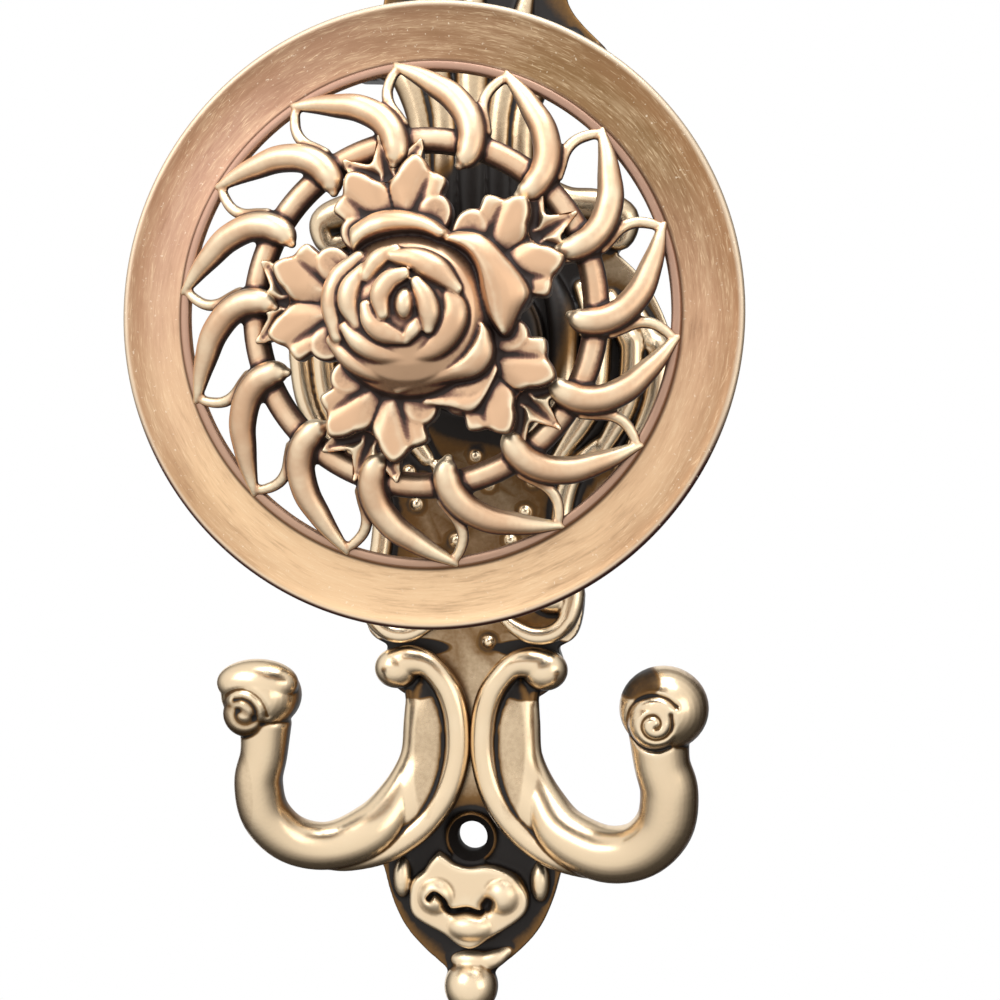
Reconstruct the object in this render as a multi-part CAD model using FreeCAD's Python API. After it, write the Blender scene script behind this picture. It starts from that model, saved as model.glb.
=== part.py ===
import FreeCAD, Part
import math
import os

# Curtain holdback: wall plate with two hooks, turned stem, rose medallion.
# Millimetres. X right, Z up, the wall is the plane Y = 0 and the front faces -Y.
# A height is a distance in front of the wall, so a point at height h has Y = -h.

# Wall plate
SLAB_THICKNESS = 4.6
SEAT_RADIUS = 15.0
SEAT_HEIGHT = 6.8
CORE_DEPTH = 2.2
CREST_TOP_Z = 86.0
WALL_HOLE_RADIUS = 3.15
HOLE_BOSS_RADIUS = 5.4
HOLE_BOSS_HEIGHT = 5.6
LOWER_HOLE_Z = -102.5
UPPER_HOLE_Z = 60.0
FINIAL_RADIUS = 5.7
FINIAL_Z = -133.4
BUMP_RADIUS = 1.5
HOOK_TIP_X = 40.4
HOOK_TIP_Z = -71.8
HOOK_TIP_HEIGHT = 23.6
HOOK_HEAD_RADIUS = 7.8
RIGHT_SIDE_SHIFT = 2.2

# Stem
STEM_FOOT_RADIUS = 14.2
STEM_WAIST_RADIUS = 5.2
STEM_HEAD_RADIUS = 8.4
SPIGOT_RADIUS = 3.0
SPIGOT_LENGTH = 4.2
SPIGOT_CLEARANCE = 0.1
SPIGOT_END_GAP = 0.4

# Medallion
RIM_PLANE = 62.0
RIM_RADIUS = 55.0
OPENING_RADIUS = 42.4
FLANGE_THICKNESS = 1.8
LIP_WIDTH = 1.8
LIP_RISE = 0.7
CRESCENTS = 14
FIRST_CRESCENT_DEG = 97.3
RING_MEAN_RADIUS = 29.8
RING_SECTION_RADIUS = 2.3
RING_PLANE = 64.4
LEAF_SPRAYS = 5
FIRST_LEAF_DEG = 104.0
HUB_RADIUS = 9.5
HUB_BACK = 58.5
HUB_FRONT = 72.0
ROSE_X = -1.0
ROSE_Z = -1.0
ROSE_TOP = 81.5

# Petals of the rose: (x, z, height of the top, half width) along each, and how much deeper than wide
PETALS = [
    ([(-0.7, 5.0, 80.4, 1.0), (-3.2, 3.9, 80.9, 1.5), (-4.7, 1.5, 80.9, 1.6), (-4.3, -1.7, 80.4, 1.0)], 1.7),
    ([(1.2, 3.7, 80.4, 0.9), (2.7, 1.1, 80.9, 1.4), (3.4, -1.6, 80.8, 1.4), (3.3, -4.2, 80.0, 0.9)], 1.7),
    ([(-7.4, 0.0, 79.4, 0.9), (-6.4, -2.7, 80.0, 1.4), (-4.3, -4.4, 80.1, 1.6), (-1.4, -5.5, 79.7, 1.1)], 1.7),
    ([(1.7, -2.2, 79.6, 0.8), (0.8, -4.0, 80.0, 1.1), (-0.7, -5.8, 79.6, 0.8)], 1.7),
    ([(-3.0, 8.1, 78.6, 0.9), (0.6, 7.4, 79.2, 1.6), (4.3, 5.5, 79.3, 1.6), (7.8, 2.6, 78.4, 0.8)], 1.9),
    ([(-2.6, 9.3, 78.0, 0.8), (-5.4, 7.7, 78.6, 1.4), (-7.6, 5.0, 78.2, 1.1)], 1.9),
    ([(-8.0, 6.2, 77.8, 0.9), (-10.1, 3.2, 78.4, 1.5), (-10.5, 0.3, 78.4, 1.5), (-9.2, -2.9, 77.8, 0.9)], 1.9),
    ([(-9.4, 8.4, 75.8, 0.9), (-12.7, 5.0, 76.6, 1.5), (-13.9, 0.5, 76.8, 1.5), (-12.9, -4.8, 76.2, 1.0)], 2.2),
    ([(-11.2, -3.4, 77.2, 0.9), (-8.7, -5.9, 78.0, 1.5), (-5.1, -7.5, 78.1, 1.6), (-0.2, -8.5, 77.6, 1.0)], 1.9),
    ([(6.2, 2.4, 78.0, 1.0), (7.0, -1.1, 78.7, 1.8), (5.8, -4.3, 78.8, 1.9), (3.6, -6.8, 78.4, 1.6),
      (0.2, -8.4, 77.6, 0.9)], 1.6),
    ([(-14.0, -5.4, 75.0, 0.9), (-11.0, -8.4, 75.8, 1.5), (-7.2, -10.4, 75.8, 1.5), (-1.9, -12.1, 75.2, 0.9)], 2.2),
    ([(-11.8, 11.0, 75.0, 1.6), (-8.0, 13.4, 76.0, 2.4), (-2.8, 14.2, 76.4, 2.4), (2.2, 13.3, 76.2, 2.1),
      (6.0, 11.4, 75.6, 1.2)], 1.5),
    ([(4.8, 12.2, 75.4, 1.2), (9.6, 10.6, 76.4, 2.2), (12.6, 7.0, 76.8, 2.7), (14.0, 2.6, 76.4, 2.9),
      (15.0, -1.0, 75.4, 2.2), (15.6, -4.6, 74.0, 0.8)], 1.3),
    ([(13.6, 3.4, 75.0, 2.2), (17.0, 2.4, 74.4, 1.8), (19.8, 1.5, 73.4, 0.6)], 1.2),
    ([(11.4, -2.4, 74.6, 1.2), (11.6, -6.8, 75.6, 2.3), (8.6, -10.2, 75.8, 2.5), (3.0, -12.4, 75.2, 1.7),
      (-3.6, -14.4, 74.0, 0.8)], 1.5),
    ([(13.4, -8.6, 71.6, 1.4), (11.6, -13.0, 72.4, 2.4), (7.6, -15.2, 72.2, 1.9), (1.4, -15.8, 71.4, 1.0)], 1.4),
]

# A loft follows its sections while the curve has turned less than this
MOST_TURN_COSINE = 0.45


def at(x, z, height):
    return FreeCAD.Vector(x, -height, z)


def polar(radius, degrees, height):
    a = math.radians(degrees)
    return at(radius * math.cos(a), radius * math.sin(a), height)


def curve_through(points):
    """A smooth curve and the parameter of each of its points."""
    marks = [0.0]
    for a, b in zip(points, points[1:]):
        marks.append(marks[-1] + (b - a).Length)
    marks = [m / marks[-1] for m in marks]
    curve = Part.BSplineCurve()
    curve.interpolate(Points=points, Parameters=marks)
    return curve, marks


def between(value, marks, values):
    for i in range(len(marks) - 1):
        if value <= marks[i + 1] + 1e-9:
            t = (value - marks[i]) / (marks[i + 1] - marks[i])
            return values[i] + (values[i + 1] - values[i]) * t
    return values[-1]


def bar(points, widths, depths, stations=0):
    """A bar with an oval section along a curve: half widths in the face, half depths along Y.

    Where the curve has turned by more than a loft can follow, the next length starts at that section.
    """
    curve, marks = curve_through(points)
    count = stations or len(points)
    front = FreeCAD.Vector(0, -1, 0)
    lengths = []
    wires = []
    first = curve.tangent(0.0)[0]
    for i in range(count):
        s = i / (count - 1)
        centre = curve.value(s)
        along = curve.tangent(s)[0]
        side = along.cross(front)
        side.normalize()
        out = side.cross(along)
        out.normalize()
        w = between(s, marks, widths)
        d = between(s, marks, depths)
        ring = []
        for k in range(8):
            a = k * math.pi / 4
            ring.append(centre + side * (w * math.cos(a)) + out * (d * math.sin(a)))
        section = Part.BSplineCurve()
        section.interpolate(Points=ring, PeriodicFlag=True)
        wires.append(Part.Wire(section.toShape()))
        if len(wires) > 2 and first.dot(along) < MOST_TURN_COSINE and i < count - 1:
            lengths.append(Part.makeLoft(wires, True, False))
            wires = wires[-1:]
            first = along
    lengths.append(Part.makeLoft(wires, True, False))
    return joined(lengths) if len(lengths) > 1 else lengths[0]


def joined(shapes):
    """One solid from shapes that overlap."""
    whole = shapes[0].multiFuse(shapes[1:])
    return whole.Solids[0] if len(whole.Solids) == 1 else whole


def turned(profile):
    """A solid turned about the Y axis from (radius, height) pairs."""
    corners = [FreeCAD.Vector(r, -h, 0) for r, h in profile]
    face = Part.Face(Part.makePolygon(corners + [corners[0]]))
    return face.revolve(FreeCAD.Vector(0, 0, 0), FreeCAD.Vector(0, 1, 0), 360)


def disc(x, z, radius, low, high):
    return Part.makeCylinder(radius, high - low, at(x, z, low), FreeCAD.Vector(0, -1, 0))


def ball(x, z, height, radius, wide=1.0, tall=1.0, deep=1.0):
    """A ball, or an egg when it is made wider, taller or deeper."""
    shape = Part.makeSphere(radius)
    if (wide, tall, deep) != (1.0, 1.0, 1.0):
        matrix = FreeCAD.Matrix()
        matrix.scale(wide, deep, tall)
        shape = shape.transformGeometry(matrix)
    shape.translate(at(x, z, height))
    return shape


def mirrored(shape):
    return shape.mirror(FreeCAD.Vector(0, 0, 0), FreeCAD.Vector(1, 0, 0))


def both_sides(shapes):
    return shapes + [mirrored(s) for s in shapes]


def faceted(outline, middle, thickness):
    """A leaf blade: facets from the middle to the outline, and the same set back."""
    back = FreeCAD.Vector(0, thickness, 0)
    faces = []
    for a, b in zip(outline, outline[1:] + outline[:1]):
        faces.append(Part.Face(Part.makePolygon([middle, a, b, middle])))
        faces.append(Part.Face(Part.makePolygon([middle + back, b + back, a + back, middle + back])))
        faces.append(Part.Face(Part.makePolygon([a, a + back, b + back, b, a])))
    solid = Part.Solid(Part.Shell(faces))
    if solid.Volume < 0:
        solid.reverse()
    return solid


# Wall plate


def plate_slab():
    """The flat ground of the casting; each run below is one smooth edge between two corners."""
    upper = [
        [(0, CREST_TOP_Z), (5.5, 83.0), (8.5, 77.5)],
        [(8.5, 77.5), (14.0, 78.0), (18.2, 74.0), (19.6, 69.5), (22.0, 65.8), (27.1, 60.5)],
        [(27.1, 60.5), (28.4, 57.6), (24.6, 55.2), (18.0, 54.4), (13.8, 51.0), (13.0, 45.0)],
        [(13.0, 45.0), (13.2, 37.0), (18.0, 31.8), (26.0, 30.8), (32.5, 28.0), (33.2, 22.5), (29.6, 18.4)],
    ]
    left_side = [
        [(29.6, 18.4), (34.5, 13.0), (38.0, 6.5), (39.2, -1.0), (38.2, -9.0), (34.4, -18.0), (26.0, -27.0)],
        [(26.0, -27.0), (22.0, -33.0), (20.8, -42.0), (23.0, -52.0), (21.8, -60.0), (17.8, -63.0)],
    ]
    right_side = [
        [(29.6, 18.4), (35.0, 13.0), (38.8, 6.5), (41.2, -1.0), (41.0, -9.0), (38.4, -17.0), (30.5, -29.0)],
        [(30.5, -29.0), (24.4, -35.0), (21.6, -43.0), (23.2, -52.0), (21.8, -60.0), (17.8, -63.0)],
    ]
    lower = [
        [(17.8, -63.0), (19.8, -67.5), (17.6, -72.6), (13.6, -74.6)],
        [(13.6, -74.6), (12.6, -84.0), (17.0, -95.0), (21.0, -103.0), (18.5, -109.5)],
        [(18.5, -109.5), (16.9, -115.2), (14.4, -120.7), (10.7, -125.2), (5.6, -129.6)],
        [(5.6, -129.6), (2.8, -133.0), (0, -134.0)],
    ]
    edges = []
    for run in upper + right_side + lower:
        edges.append(curve_through([at(x, z, 0) for x, z in run])[0].toShape())
    for run in reversed(upper + left_side + lower):
        edges.append(curve_through([at(-x, z, 0) for x, z in reversed(run)])[0].toShape())
    return Part.Face(Part.Wire(edges)).extrude(FreeCAD.Vector(0, -SLAB_THICKNESS, 0))


def crest_plume():
    """The fluted plume and side leaves above the stem."""
    spread = [(0.0, 0.0, 78.0, 3.3), (5.4, 11.0, 71.0, 3.0), (9.6, 20.5, 62.0, 2.8)]
    shapes = []
    for foot, tip, top, w in spread:
        path = [at(foot, 19.0, 5.0), at(foot * 1.05, 33.0, 6.4), at(foot * 1.1, 46.0, 6.4)]
        path = path + [at((foot + tip) / 2, 57.0, 6.0), at(tip, top, 4.6)]
        flute = bar(path, [w * 0.6, w, w, w * 1.1, w * 0.5], [2.0, 3.0, 3.0, 2.6, 1.2], 6)
        shapes.append(flute)
        if foot:
            shapes.append(mirrored(flute))
    leaf = bar([at(13.4, 52.4, 4.4), at(17.6, 56.2, 5.2), at(21.8, 58.2, 5.2), at(25.8, 58.8, 4.4)],
               [1.4, 2.2, 2.4, 1.6], [1.4, 2.2, 2.2, 1.4], 5)
    curl = ball(25.6, 58.4, 4.4, 2.5)
    return shapes + both_sides([leaf, curl])


def side_scrolls():
    """The fluted C-scrolls at the widest part and the lobes over them."""
    shapes = []
    for x in (19.0, 25.2, 31.4, 36.2):
        reach = (x - 19.0) / 17.2
        top = 13.5 - 6.0 * reach
        w = 3.0 - 0.6 * reach
        for side, out in ((1, RIGHT_SIDE_SHIFT), (-1, 0.0)):
            far = out * reach
            path = [at(x - 3.0, top, 4.4), at(x - 0.4 + far * 0.6, top - 8.0, 6.0), at(x + far, -2.0, 6.6)]
            path = path + [at(x - 1.8 + far * 1.3, -13.0, 6.2), at(x - 9.4 + 1.6 * reach + far, -24.0 - far, 4.6)]
            flute = bar(path, [w * 0.6, w, w, w, w * 0.6], [1.8, 2.8, 3.0, 2.6, 1.4], 6)
            shapes.append(flute if side > 0 else mirrored(flute))
    lobe = bar([at(13.0, 33.0, 4.6), at(19.5, 28.5, 6.2), at(26.0, 27.5, 6.4), at(30.3, 25.0, 5.6)],
               [2.4, 3.2, 3.4, 2.6], [1.8, 3.0, 3.2, 2.4], 5)
    curl = ball(29.4, 22.8, 5.4, 3.9)
    return shapes + both_sides([lobe, curl])


def waist_frame():
    """The raised edge that runs down the waist and curls into the upper volutes."""
    path = [at(28.0, -19.0, 4.4), at(21.6, -26.0, 5.4), at(18.8, -34.5, 5.8), at(19.0, -44.0, 6.2),
            at(20.8, -52.0, 7.0), at(19.4, -59.4, 7.8), at(13.6, -60.6, 8.2), at(10.8, -56.2, 8.2)]
    wide = [1.4, 2.2, 2.3, 2.4, 2.8, 2.9, 2.4, 1.2]
    edge = bar(path, wide, [1.2, 2.0, 2.4, 2.6, 2.8, 2.8, 2.4, 1.2], 11)
    eye = ball(15.6, -54.6, 6.2, 3.0)
    return both_sides([edge, eye])


def lower_band():
    """The C-scroll band: a volute at the top, then down the centre line and out under the arm."""
    path = [at(14.6, -70.2, 6.4), at(17.6, -69.6, 7.2), at(17.2, -66.2, 7.6), at(13.0, -65.2, 7.6),
            at(7.8, -67.0, 7.4), at(4.2, -71.4, 7.2), at(2.9, -78.0, 7.0), at(3.2, -86.0, 7.0),
            at(5.6, -93.5, 7.2), at(10.4, -99.6, 7.8), at(17.0, -104.4, 9.0), at(24.0, -106.2, 11.0)]
    wide = [1.6, 2.4, 2.6, 2.7, 2.7, 2.7, 2.8, 2.8, 2.8, 2.7, 2.4, 1.2]
    deep = [1.6, 2.4, 2.6, 2.7, 2.8, 2.8, 2.8, 2.8, 2.8, 2.8, 2.6, 1.2]
    return both_sides([bar(path, wide, deep, 16)])


def hook():
    """One round arm from the plate out to the curled tip, with the tip's curl and eye."""
    tip = HOOK_TIP_HEIGHT
    path = [at(9.6, -68.5, 3.6), at(9.2, -77.0, 4.4), at(9.6, -85.0, 5.0), at(12.8, -93.4, 6.8),
            at(19.0, -100.2, 9.6), at(27.0, -103.2, 12.6), at(35.2, -101.4, 15.6), at(40.6, -94.8, 18.4),
            at(41.0, -87.0, 20.4), at(39.6, -79.6, 22.2), at(HOOK_TIP_X - 0.3, HOOK_TIP_Z - 3.6, tip - 0.4),
            at(HOOK_TIP_X, HOOK_TIP_Z, tip), at(HOOK_TIP_X, HOOK_TIP_Z + 4.4, tip + 0.4),
            at(HOOK_TIP_X, HOOK_TIP_Z + 6.8, tip + 0.5), at(HOOK_TIP_X, HOOK_TIP_Z + 7.6, tip + 0.5)]
    head = HOOK_HEAD_RADIUS
    thick = [4.0, 4.4, 4.8, 5.0, 5.3, 5.4, 5.5, 5.6, 5.4, 4.8, head * 0.9, head, head * 0.84, head * 0.45, 1.0]
    arm = bar(path, thick, [2.2, 2.6, 3.2, 4.2, 5.2] + thick[5:])
    curl = []
    steps = 9
    for i in range(steps):
        s = i / (steps - 1)
        round_by = math.radians(226.0 - 440.0 * s)
        off_front = math.radians(84.0 - 56.0 * s)
        reach = (HOOK_HEAD_RADIUS - 0.9) * math.sin(off_front)
        curl.append(at(HOOK_TIP_X + reach * math.cos(round_by), HOOK_TIP_Z + reach * math.sin(round_by),
                       tip + (HOOK_HEAD_RADIUS - 0.6) * math.cos(off_front)))
    swell = [0.9, 1.9, 2.4, 2.5, 2.4, 2.2, 1.9, 1.6, 0.9]
    eye = ball(HOOK_TIP_X - 0.2, HOOK_TIP_Z - 0.4, tip + HOOK_HEAD_RADIUS - 0.6, 2.0)
    return both_sides([arm, bar(curl, swell, swell, 13), eye])


def drop():
    """The scrolled drop under the wall hole, with its collar and finial ball."""
    lobe = ball(6.0, -112.6, 5.0, 6.3, 1.06, 1.0, 0.9)
    leaf = ball(13.4, -111.6, 4.4, 2.3, 0.9, 1.7, 1.0)
    chin = ball(0, -119.2, 5.6, 6.2, 1.05, 0.95, 0.85)
    collar = ball(0, -127.0, 3.6, 3.4, 2.0, 0.85, 1.0)
    finial = ball(0, FINIAL_Z, 4.4, FINIAL_RADIUS)
    return both_sides([lobe, leaf]) + [chin, collar, finial]


def field_bumps():
    """The raised dots on the sunken field."""
    spots = [(-7.4, -25.5), (-2.6, -35.7), (7.9, -40.8), (11.0, -35.0), (12.6, -28.6), (-11.8, -33.5),
             (3.4, -29.4), (-7.0, -44.0), (2.0, -48.5), (-1.6, -56.5), (3.4, -62.0), (12.4, -45.6)]
    return [ball(x, z, SLAB_THICKNESS, BUMP_RADIUS) for x, z in spots]


def wall_plate():
    """One casting: ground, relief, hooks and drop, with its holes and a cored back."""
    parts = [plate_slab(), disc(0, 0, SEAT_RADIUS, 0, SEAT_HEIGHT)]
    for z in (LOWER_HOLE_Z, UPPER_HOLE_Z):
        parts.append(disc(0, z, HOLE_BOSS_RADIUS, 0, HOLE_BOSS_HEIGHT))
    plate = joined(parts)
    for relief in (crest_plume, side_scrolls, waist_frame, lower_band, hook, drop, field_bumps):
        plate = joined([plate] + relief())
    behind = Part.makeBox(240, 40, 320, FreeCAD.Vector(-120, 0, -180))
    tools = [behind]
    for z in (LOWER_HOLE_Z, UPPER_HOLE_Z):
        tools.append(disc(0, z, WALL_HOLE_RADIUS, -1, 40))
        tools.append(disc(0, z, HOLE_BOSS_RADIUS - 0.6, HOLE_BOSS_HEIGHT, 40))
    tools.append(disc(0, 0, SPIGOT_RADIUS + SPIGOT_CLEARANCE, SEAT_HEIGHT - SPIGOT_LENGTH - SPIGOT_END_GAP, 40))
    tools.append(disc(0, 0, STEM_FOOT_RADIUS + 0.5, SEAT_HEIGHT, 40))
    tools.append(Part.makeBox(28, CORE_DEPTH, 27, at(-14, -47, 0) - FreeCAD.Vector(0, CORE_DEPTH, 0)))
    tools.append(Part.makeBox(18, CORE_DEPTH, 20, at(-9, 26, 0) - FreeCAD.Vector(0, CORE_DEPTH, 0)))
    for side in (-1, 1):
        tools.append(Part.makeBox(11, CORE_DEPTH, 22, at(23 * side - 5.5, -14, 0) - FreeCAD.Vector(0, CORE_DEPTH, 0)))
    for side in (-1, 1):
        tools.append(ball(4.9 * side, -115.2, 11.0, 1.7))
    return plate.cut(tools)


# Stem


def stem():
    """The turned post with its threaded spigots left plain."""
    low = SEAT_HEIGHT
    high = HUB_BACK
    waist = STEM_WAIST_RADIUS
    head = STEM_HEAD_RADIUS
    foot = STEM_FOOT_RADIUS
    profile = [(0, low - SPIGOT_LENGTH), (SPIGOT_RADIUS, low - SPIGOT_LENGTH), (SPIGOT_RADIUS, low)]
    profile = profile + [(foot, low), (foot, low + 1.6), (foot - 1.4, low + 2.8), (foot - 4.4, low + 3.6)]
    profile = profile + [(waist + 2.4, low + 6.0), (waist + 0.8, low + 10.5), (waist + 2.0, low + 11.3)]
    profile = profile + [(waist + 2.4, low + 12.3), (waist + 2.0, low + 13.3), (waist + 0.4, low + 14.1)]
    profile = profile + [(waist, low + 20.0), (waist, high - 16.0), (waist + 0.4, high - 12.2)]
    profile = profile + [(waist + 1.9, high - 11.4), (waist + 2.3, high - 10.4), (waist + 1.9, high - 9.4)]
    profile = profile + [(waist + 0.9, high - 8.6), (waist + 1.3, high - 5.0), (head - 0.4, high - 2.2)]
    profile = profile + [(head, high - 1.2), (head, high), (SPIGOT_RADIUS, high)]
    profile = profile + [(SPIGOT_RADIUS, high + SPIGOT_LENGTH), (0, high + SPIGOT_LENGTH)]
    return turned(profile)


# Medallion


def front_flange():
    """The dished flange with its rolled outer rim and its raised inner lip."""
    back = RIM_PLANE - FLANGE_THICKNESS
    inner = OPENING_RADIUS
    lip = inner + LIP_WIDTH
    profile = [(inner, RIM_PLANE - 0.9), (inner + 0.1, RIM_PLANE + LIP_RISE - 0.35)]
    profile = profile + [(inner + 0.55, RIM_PLANE + LIP_RISE), (inner + 1.2, RIM_PLANE + LIP_RISE - 0.15)]
    profile = profile + [(lip, RIM_PLANE - 0.35), (lip + 3.5, RIM_PLANE - 0.6), (RIM_RADIUS - 2.6, RIM_PLANE - 0.35)]
    profile = profile + [(RIM_RADIUS - 1.1, RIM_PLANE - 0.05), (RIM_RADIUS - 0.3, RIM_PLANE - 0.3)]
    profile = profile + [(RIM_RADIUS, RIM_PLANE - 1.0), (RIM_RADIUS - 0.3, RIM_PLANE - 1.8)]
    profile = profile + [(RIM_RADIUS - 1.3, back - 0.2), (lip + 2.5, back - 0.6), (inner + 0.8, back + 0.1)]
    return turned(profile)


def crescent(tip):
    """One crescent, from its pointed tip on the lip to its blunt end over the inner ring."""
    sweep = [(43.9, 0.2), (42.9, -1.6), (40.7, -7.0), (37.8, -14.6), (34.4, -20.3), (31.2, -23.4),
             (27.8, -23.9), (25.5, -22.0)]
    rise = [0.5, 0.9, 1.6, 2.6, 3.6, 4.6, 5.4, 5.6]
    path = [polar(r, tip + a, RIM_PLANE + h) for (r, a), h in zip(sweep, rise)]
    wide = [0.5, 0.9, 1.7, 2.2, 2.4, 2.3, 1.9, 0.9]
    deep = [0.5, 0.8, 1.4, 1.9, 2.1, 2.0, 1.6, 0.8]
    return bar(path, wide, deep)


def tendril(tip):
    """The thin loop from a crescent's tip to the back of its neighbour."""
    sweep = [(42.6, -0.6), (40.6, 1.6), (38.4, 2.9), (35.8, 3.0), (33.4, 2.4), (31.4, 3.2)]
    rise = [0.5, 0.9, 1.5, 2.2, 3.0, 3.8]
    path = [polar(r, tip + a, RIM_PLANE + h) for (r, a), h in zip(sweep, rise)]
    return bar(path, [0.8, 0.95, 1.0, 1.0, 1.0, 0.7], [0.8, 0.95, 1.0, 1.0, 1.0, 0.7])


def inner_ring():
    ring = Part.makeTorus(RING_MEAN_RADIUS, RING_SECTION_RADIUS, at(0, 0, RING_PLANE), FreeCAD.Vector(0, -1, 0))
    return ring


def leaf_spray(turn):
    """Two folded leaflets, two small lobes by the rose and the lower three-pointed leaflet."""
    top = RIM_PLANE
    shapes = []
    low = [(13.0, -9, 5.0), (22.5, -13, 5.6), (29.3, -14.2, 4.8), (26.8, -5.4, 6.2), (31.4, 0, 5.0),
           (26.8, 5.4, 6.2), (29.3, 14.2, 4.8), (22.5, 13, 5.6), (13.0, 9, 5.0)]
    shapes.append(faceted([polar(r, turn + a, top + h) for r, a, h in low], polar(21.0, turn, top + 3.8), 3.2))
    for side in (-1, 1):
        fan = [(12.0, 2.0, 8.6), (19.0, 1.2, 8.8), (23.4, 5.0, 9.4), (26.1, 13.6, 9.2), (22.9, 20.5, 9.6),
               (22.0, 27.0, 9.4), (19.4, 26.8, 9.2), (12.0, 22.0, 8.8)]
        rim = [polar(r, turn + side * a, top + h) for r, a, h in fan]
        shapes.append(faceted(rim, polar(20.6, turn + side * 13.5, top + 10.6), 3.6))
        lobe = [(10.0, 14.0, 9.4), (17.4, 12.0, 9.6), (18.8, 22.0, 10.0), (17.9, 33.0, 9.6), (15.0, 34.4, 9.4),
                (10.0, 30.0, 9.2)]
        rim = [polar(r, turn + side * a, top + h) for r, a, h in lobe]
        shapes.append(faceted(rim, polar(15.0, turn + side * 23.5, top + 11.0), 4.0))
    return shapes


def rose_petal(knots, deep):
    """A rolled petal edge through (x, z, top, half width) knots, deeper than it is wide."""
    path = [at(x, z, top - half * deep) for x, z, top, half in knots]
    widths = [half for x, z, top, half in knots]
    return bar(path, widths, [w * deep for w in widths], 6)


def rose():
    """Bud, spiral petals and the broad outer petals over a domed core."""
    top = ROSE_TOP
    core = [(0, top - 19.0), (13.0, top - 17.4), (14.8, top - 15.0), (14.4, top - 12.0), (13.0, top - 9.6),
            (10.8, top - 7.4), (8.6, top - 5.6), (5.8, top - 4.0), (3.2, top - 3.2), (0, top - 3.0)]
    dome = turned(core)
    dome.translate(FreeCAD.Vector(ROSE_X, 0, ROSE_Z))
    shapes = [dome, ball(ROSE_X + 0.3, ROSE_Z + 1.0, top - 2.6, 1.3, 1.0, 1.7, 1.7)]
    for knots, deep in PETALS:
        shapes.append(rose_petal(knots, deep))
    return shapes


def medallion():
    """One casting: flange, crescents, tendrils, ring, leaves and rose, tapped from behind."""
    petals = rose()
    head = joined([disc(0, 0, HUB_RADIUS, HUB_BACK, HUB_FRONT), petals[0]])
    for k in range(LEAF_SPRAYS):
        head = joined([head] + leaf_spray(FIRST_LEAF_DEG - k * 360.0 / LEAF_SPRAYS))
    head = joined([head] + petals[1:])
    parts = [front_flange(), inner_ring()]
    for k in range(CRESCENTS):
        tip = FIRST_CRESCENT_DEG - k * 360.0 / CRESCENTS
        parts.append(crescent(tip))
        parts.append(tendril(tip))
    tapped = disc(0, 0, SPIGOT_RADIUS + SPIGOT_CLEARANCE, HUB_BACK - 1, HUB_BACK + SPIGOT_LENGTH + SPIGOT_END_GAP)
    return joined([joined(parts), head]).cut(tapped)


os.makedirs("parts", exist_ok=True)
for name, shape in (("wall_plate", wall_plate()), ("stem", stem()), ("medallion", medallion())):
    print(name, len(shape.Solids), shape.isValid(), round(shape.Volume))
    shape.exportStep("parts/" + name + ".step")
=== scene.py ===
import math

import bpy
import numpy as np
from bpy.props import FloatProperty, FloatVectorProperty, IntProperty, PointerProperty
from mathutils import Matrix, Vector, kdtree


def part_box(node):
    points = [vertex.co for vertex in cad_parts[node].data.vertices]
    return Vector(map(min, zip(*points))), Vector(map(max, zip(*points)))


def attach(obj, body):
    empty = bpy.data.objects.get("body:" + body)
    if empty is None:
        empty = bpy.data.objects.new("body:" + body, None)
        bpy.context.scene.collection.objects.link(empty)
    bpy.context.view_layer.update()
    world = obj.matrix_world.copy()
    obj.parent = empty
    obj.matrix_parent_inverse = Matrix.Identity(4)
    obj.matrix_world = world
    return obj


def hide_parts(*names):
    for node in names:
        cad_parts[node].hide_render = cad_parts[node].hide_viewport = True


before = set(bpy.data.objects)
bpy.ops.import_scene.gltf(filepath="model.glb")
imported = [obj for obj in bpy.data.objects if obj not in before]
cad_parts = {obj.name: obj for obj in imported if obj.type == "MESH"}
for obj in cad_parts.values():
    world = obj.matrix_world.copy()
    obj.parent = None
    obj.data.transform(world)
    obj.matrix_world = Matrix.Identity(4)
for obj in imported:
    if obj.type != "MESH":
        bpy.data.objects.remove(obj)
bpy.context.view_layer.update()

bl_info = {
    "name": "Rose medallion curtain holdback",
    "version": (1, 0, 0),
    "blender": (4, 5, 0),
    "location": "View3D > Sidebar > Holdback",
    "description": "Models an antique brass holdback: cast wall plate, two hooks, stem and rose medallion",
    "category": "Add Mesh",
}

MM = 0.001
BODY = "root"
MEDALLION_LOW, MEDALLION_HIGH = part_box("medallion")
RIM_RADIUS = (MEDALLION_HIGH[0] - MEDALLION_LOW[0]) / 2 / MM
FIRST_CRESCENT = 97.3          # degrees
FIRST_SPRAY = 104.0
SCREW_HOLES = (-102.5, 60.0)   # heights on the plate
SNAIL = (38.6, -75.0)          # middle of the right head's curl
CURL = (-42.3, -74.9)          # middle of the left head's curl


# Bench work. Everything is modelled lying on its back: x right, y up the wall, z towards the room,
# in millimetres, and the finished piece is stood up against the wall by one quarter turn.


def pick(*objects):
    """Select only these objects, the first one active."""
    bpy.ops.object.select_all(action="DESELECT")
    for obj in objects:
        obj.select_set(True)
    bpy.context.view_layer.objects.active = objects[0]


def modify(obj, kind, **settings):
    """Add a modifier, set it and apply it."""
    pick(obj)
    modifier = obj.modifiers.new(kind.title(), kind)
    for name, value in settings.items():
        setattr(modifier, name, value)
    bpy.ops.object.modifier_apply(modifier=modifier.name)


def settle():
    """Apply the selected objects' place, turn and size to their meshes."""
    bpy.ops.object.transform_apply(location=True, rotation=True, scale=True)


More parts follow.
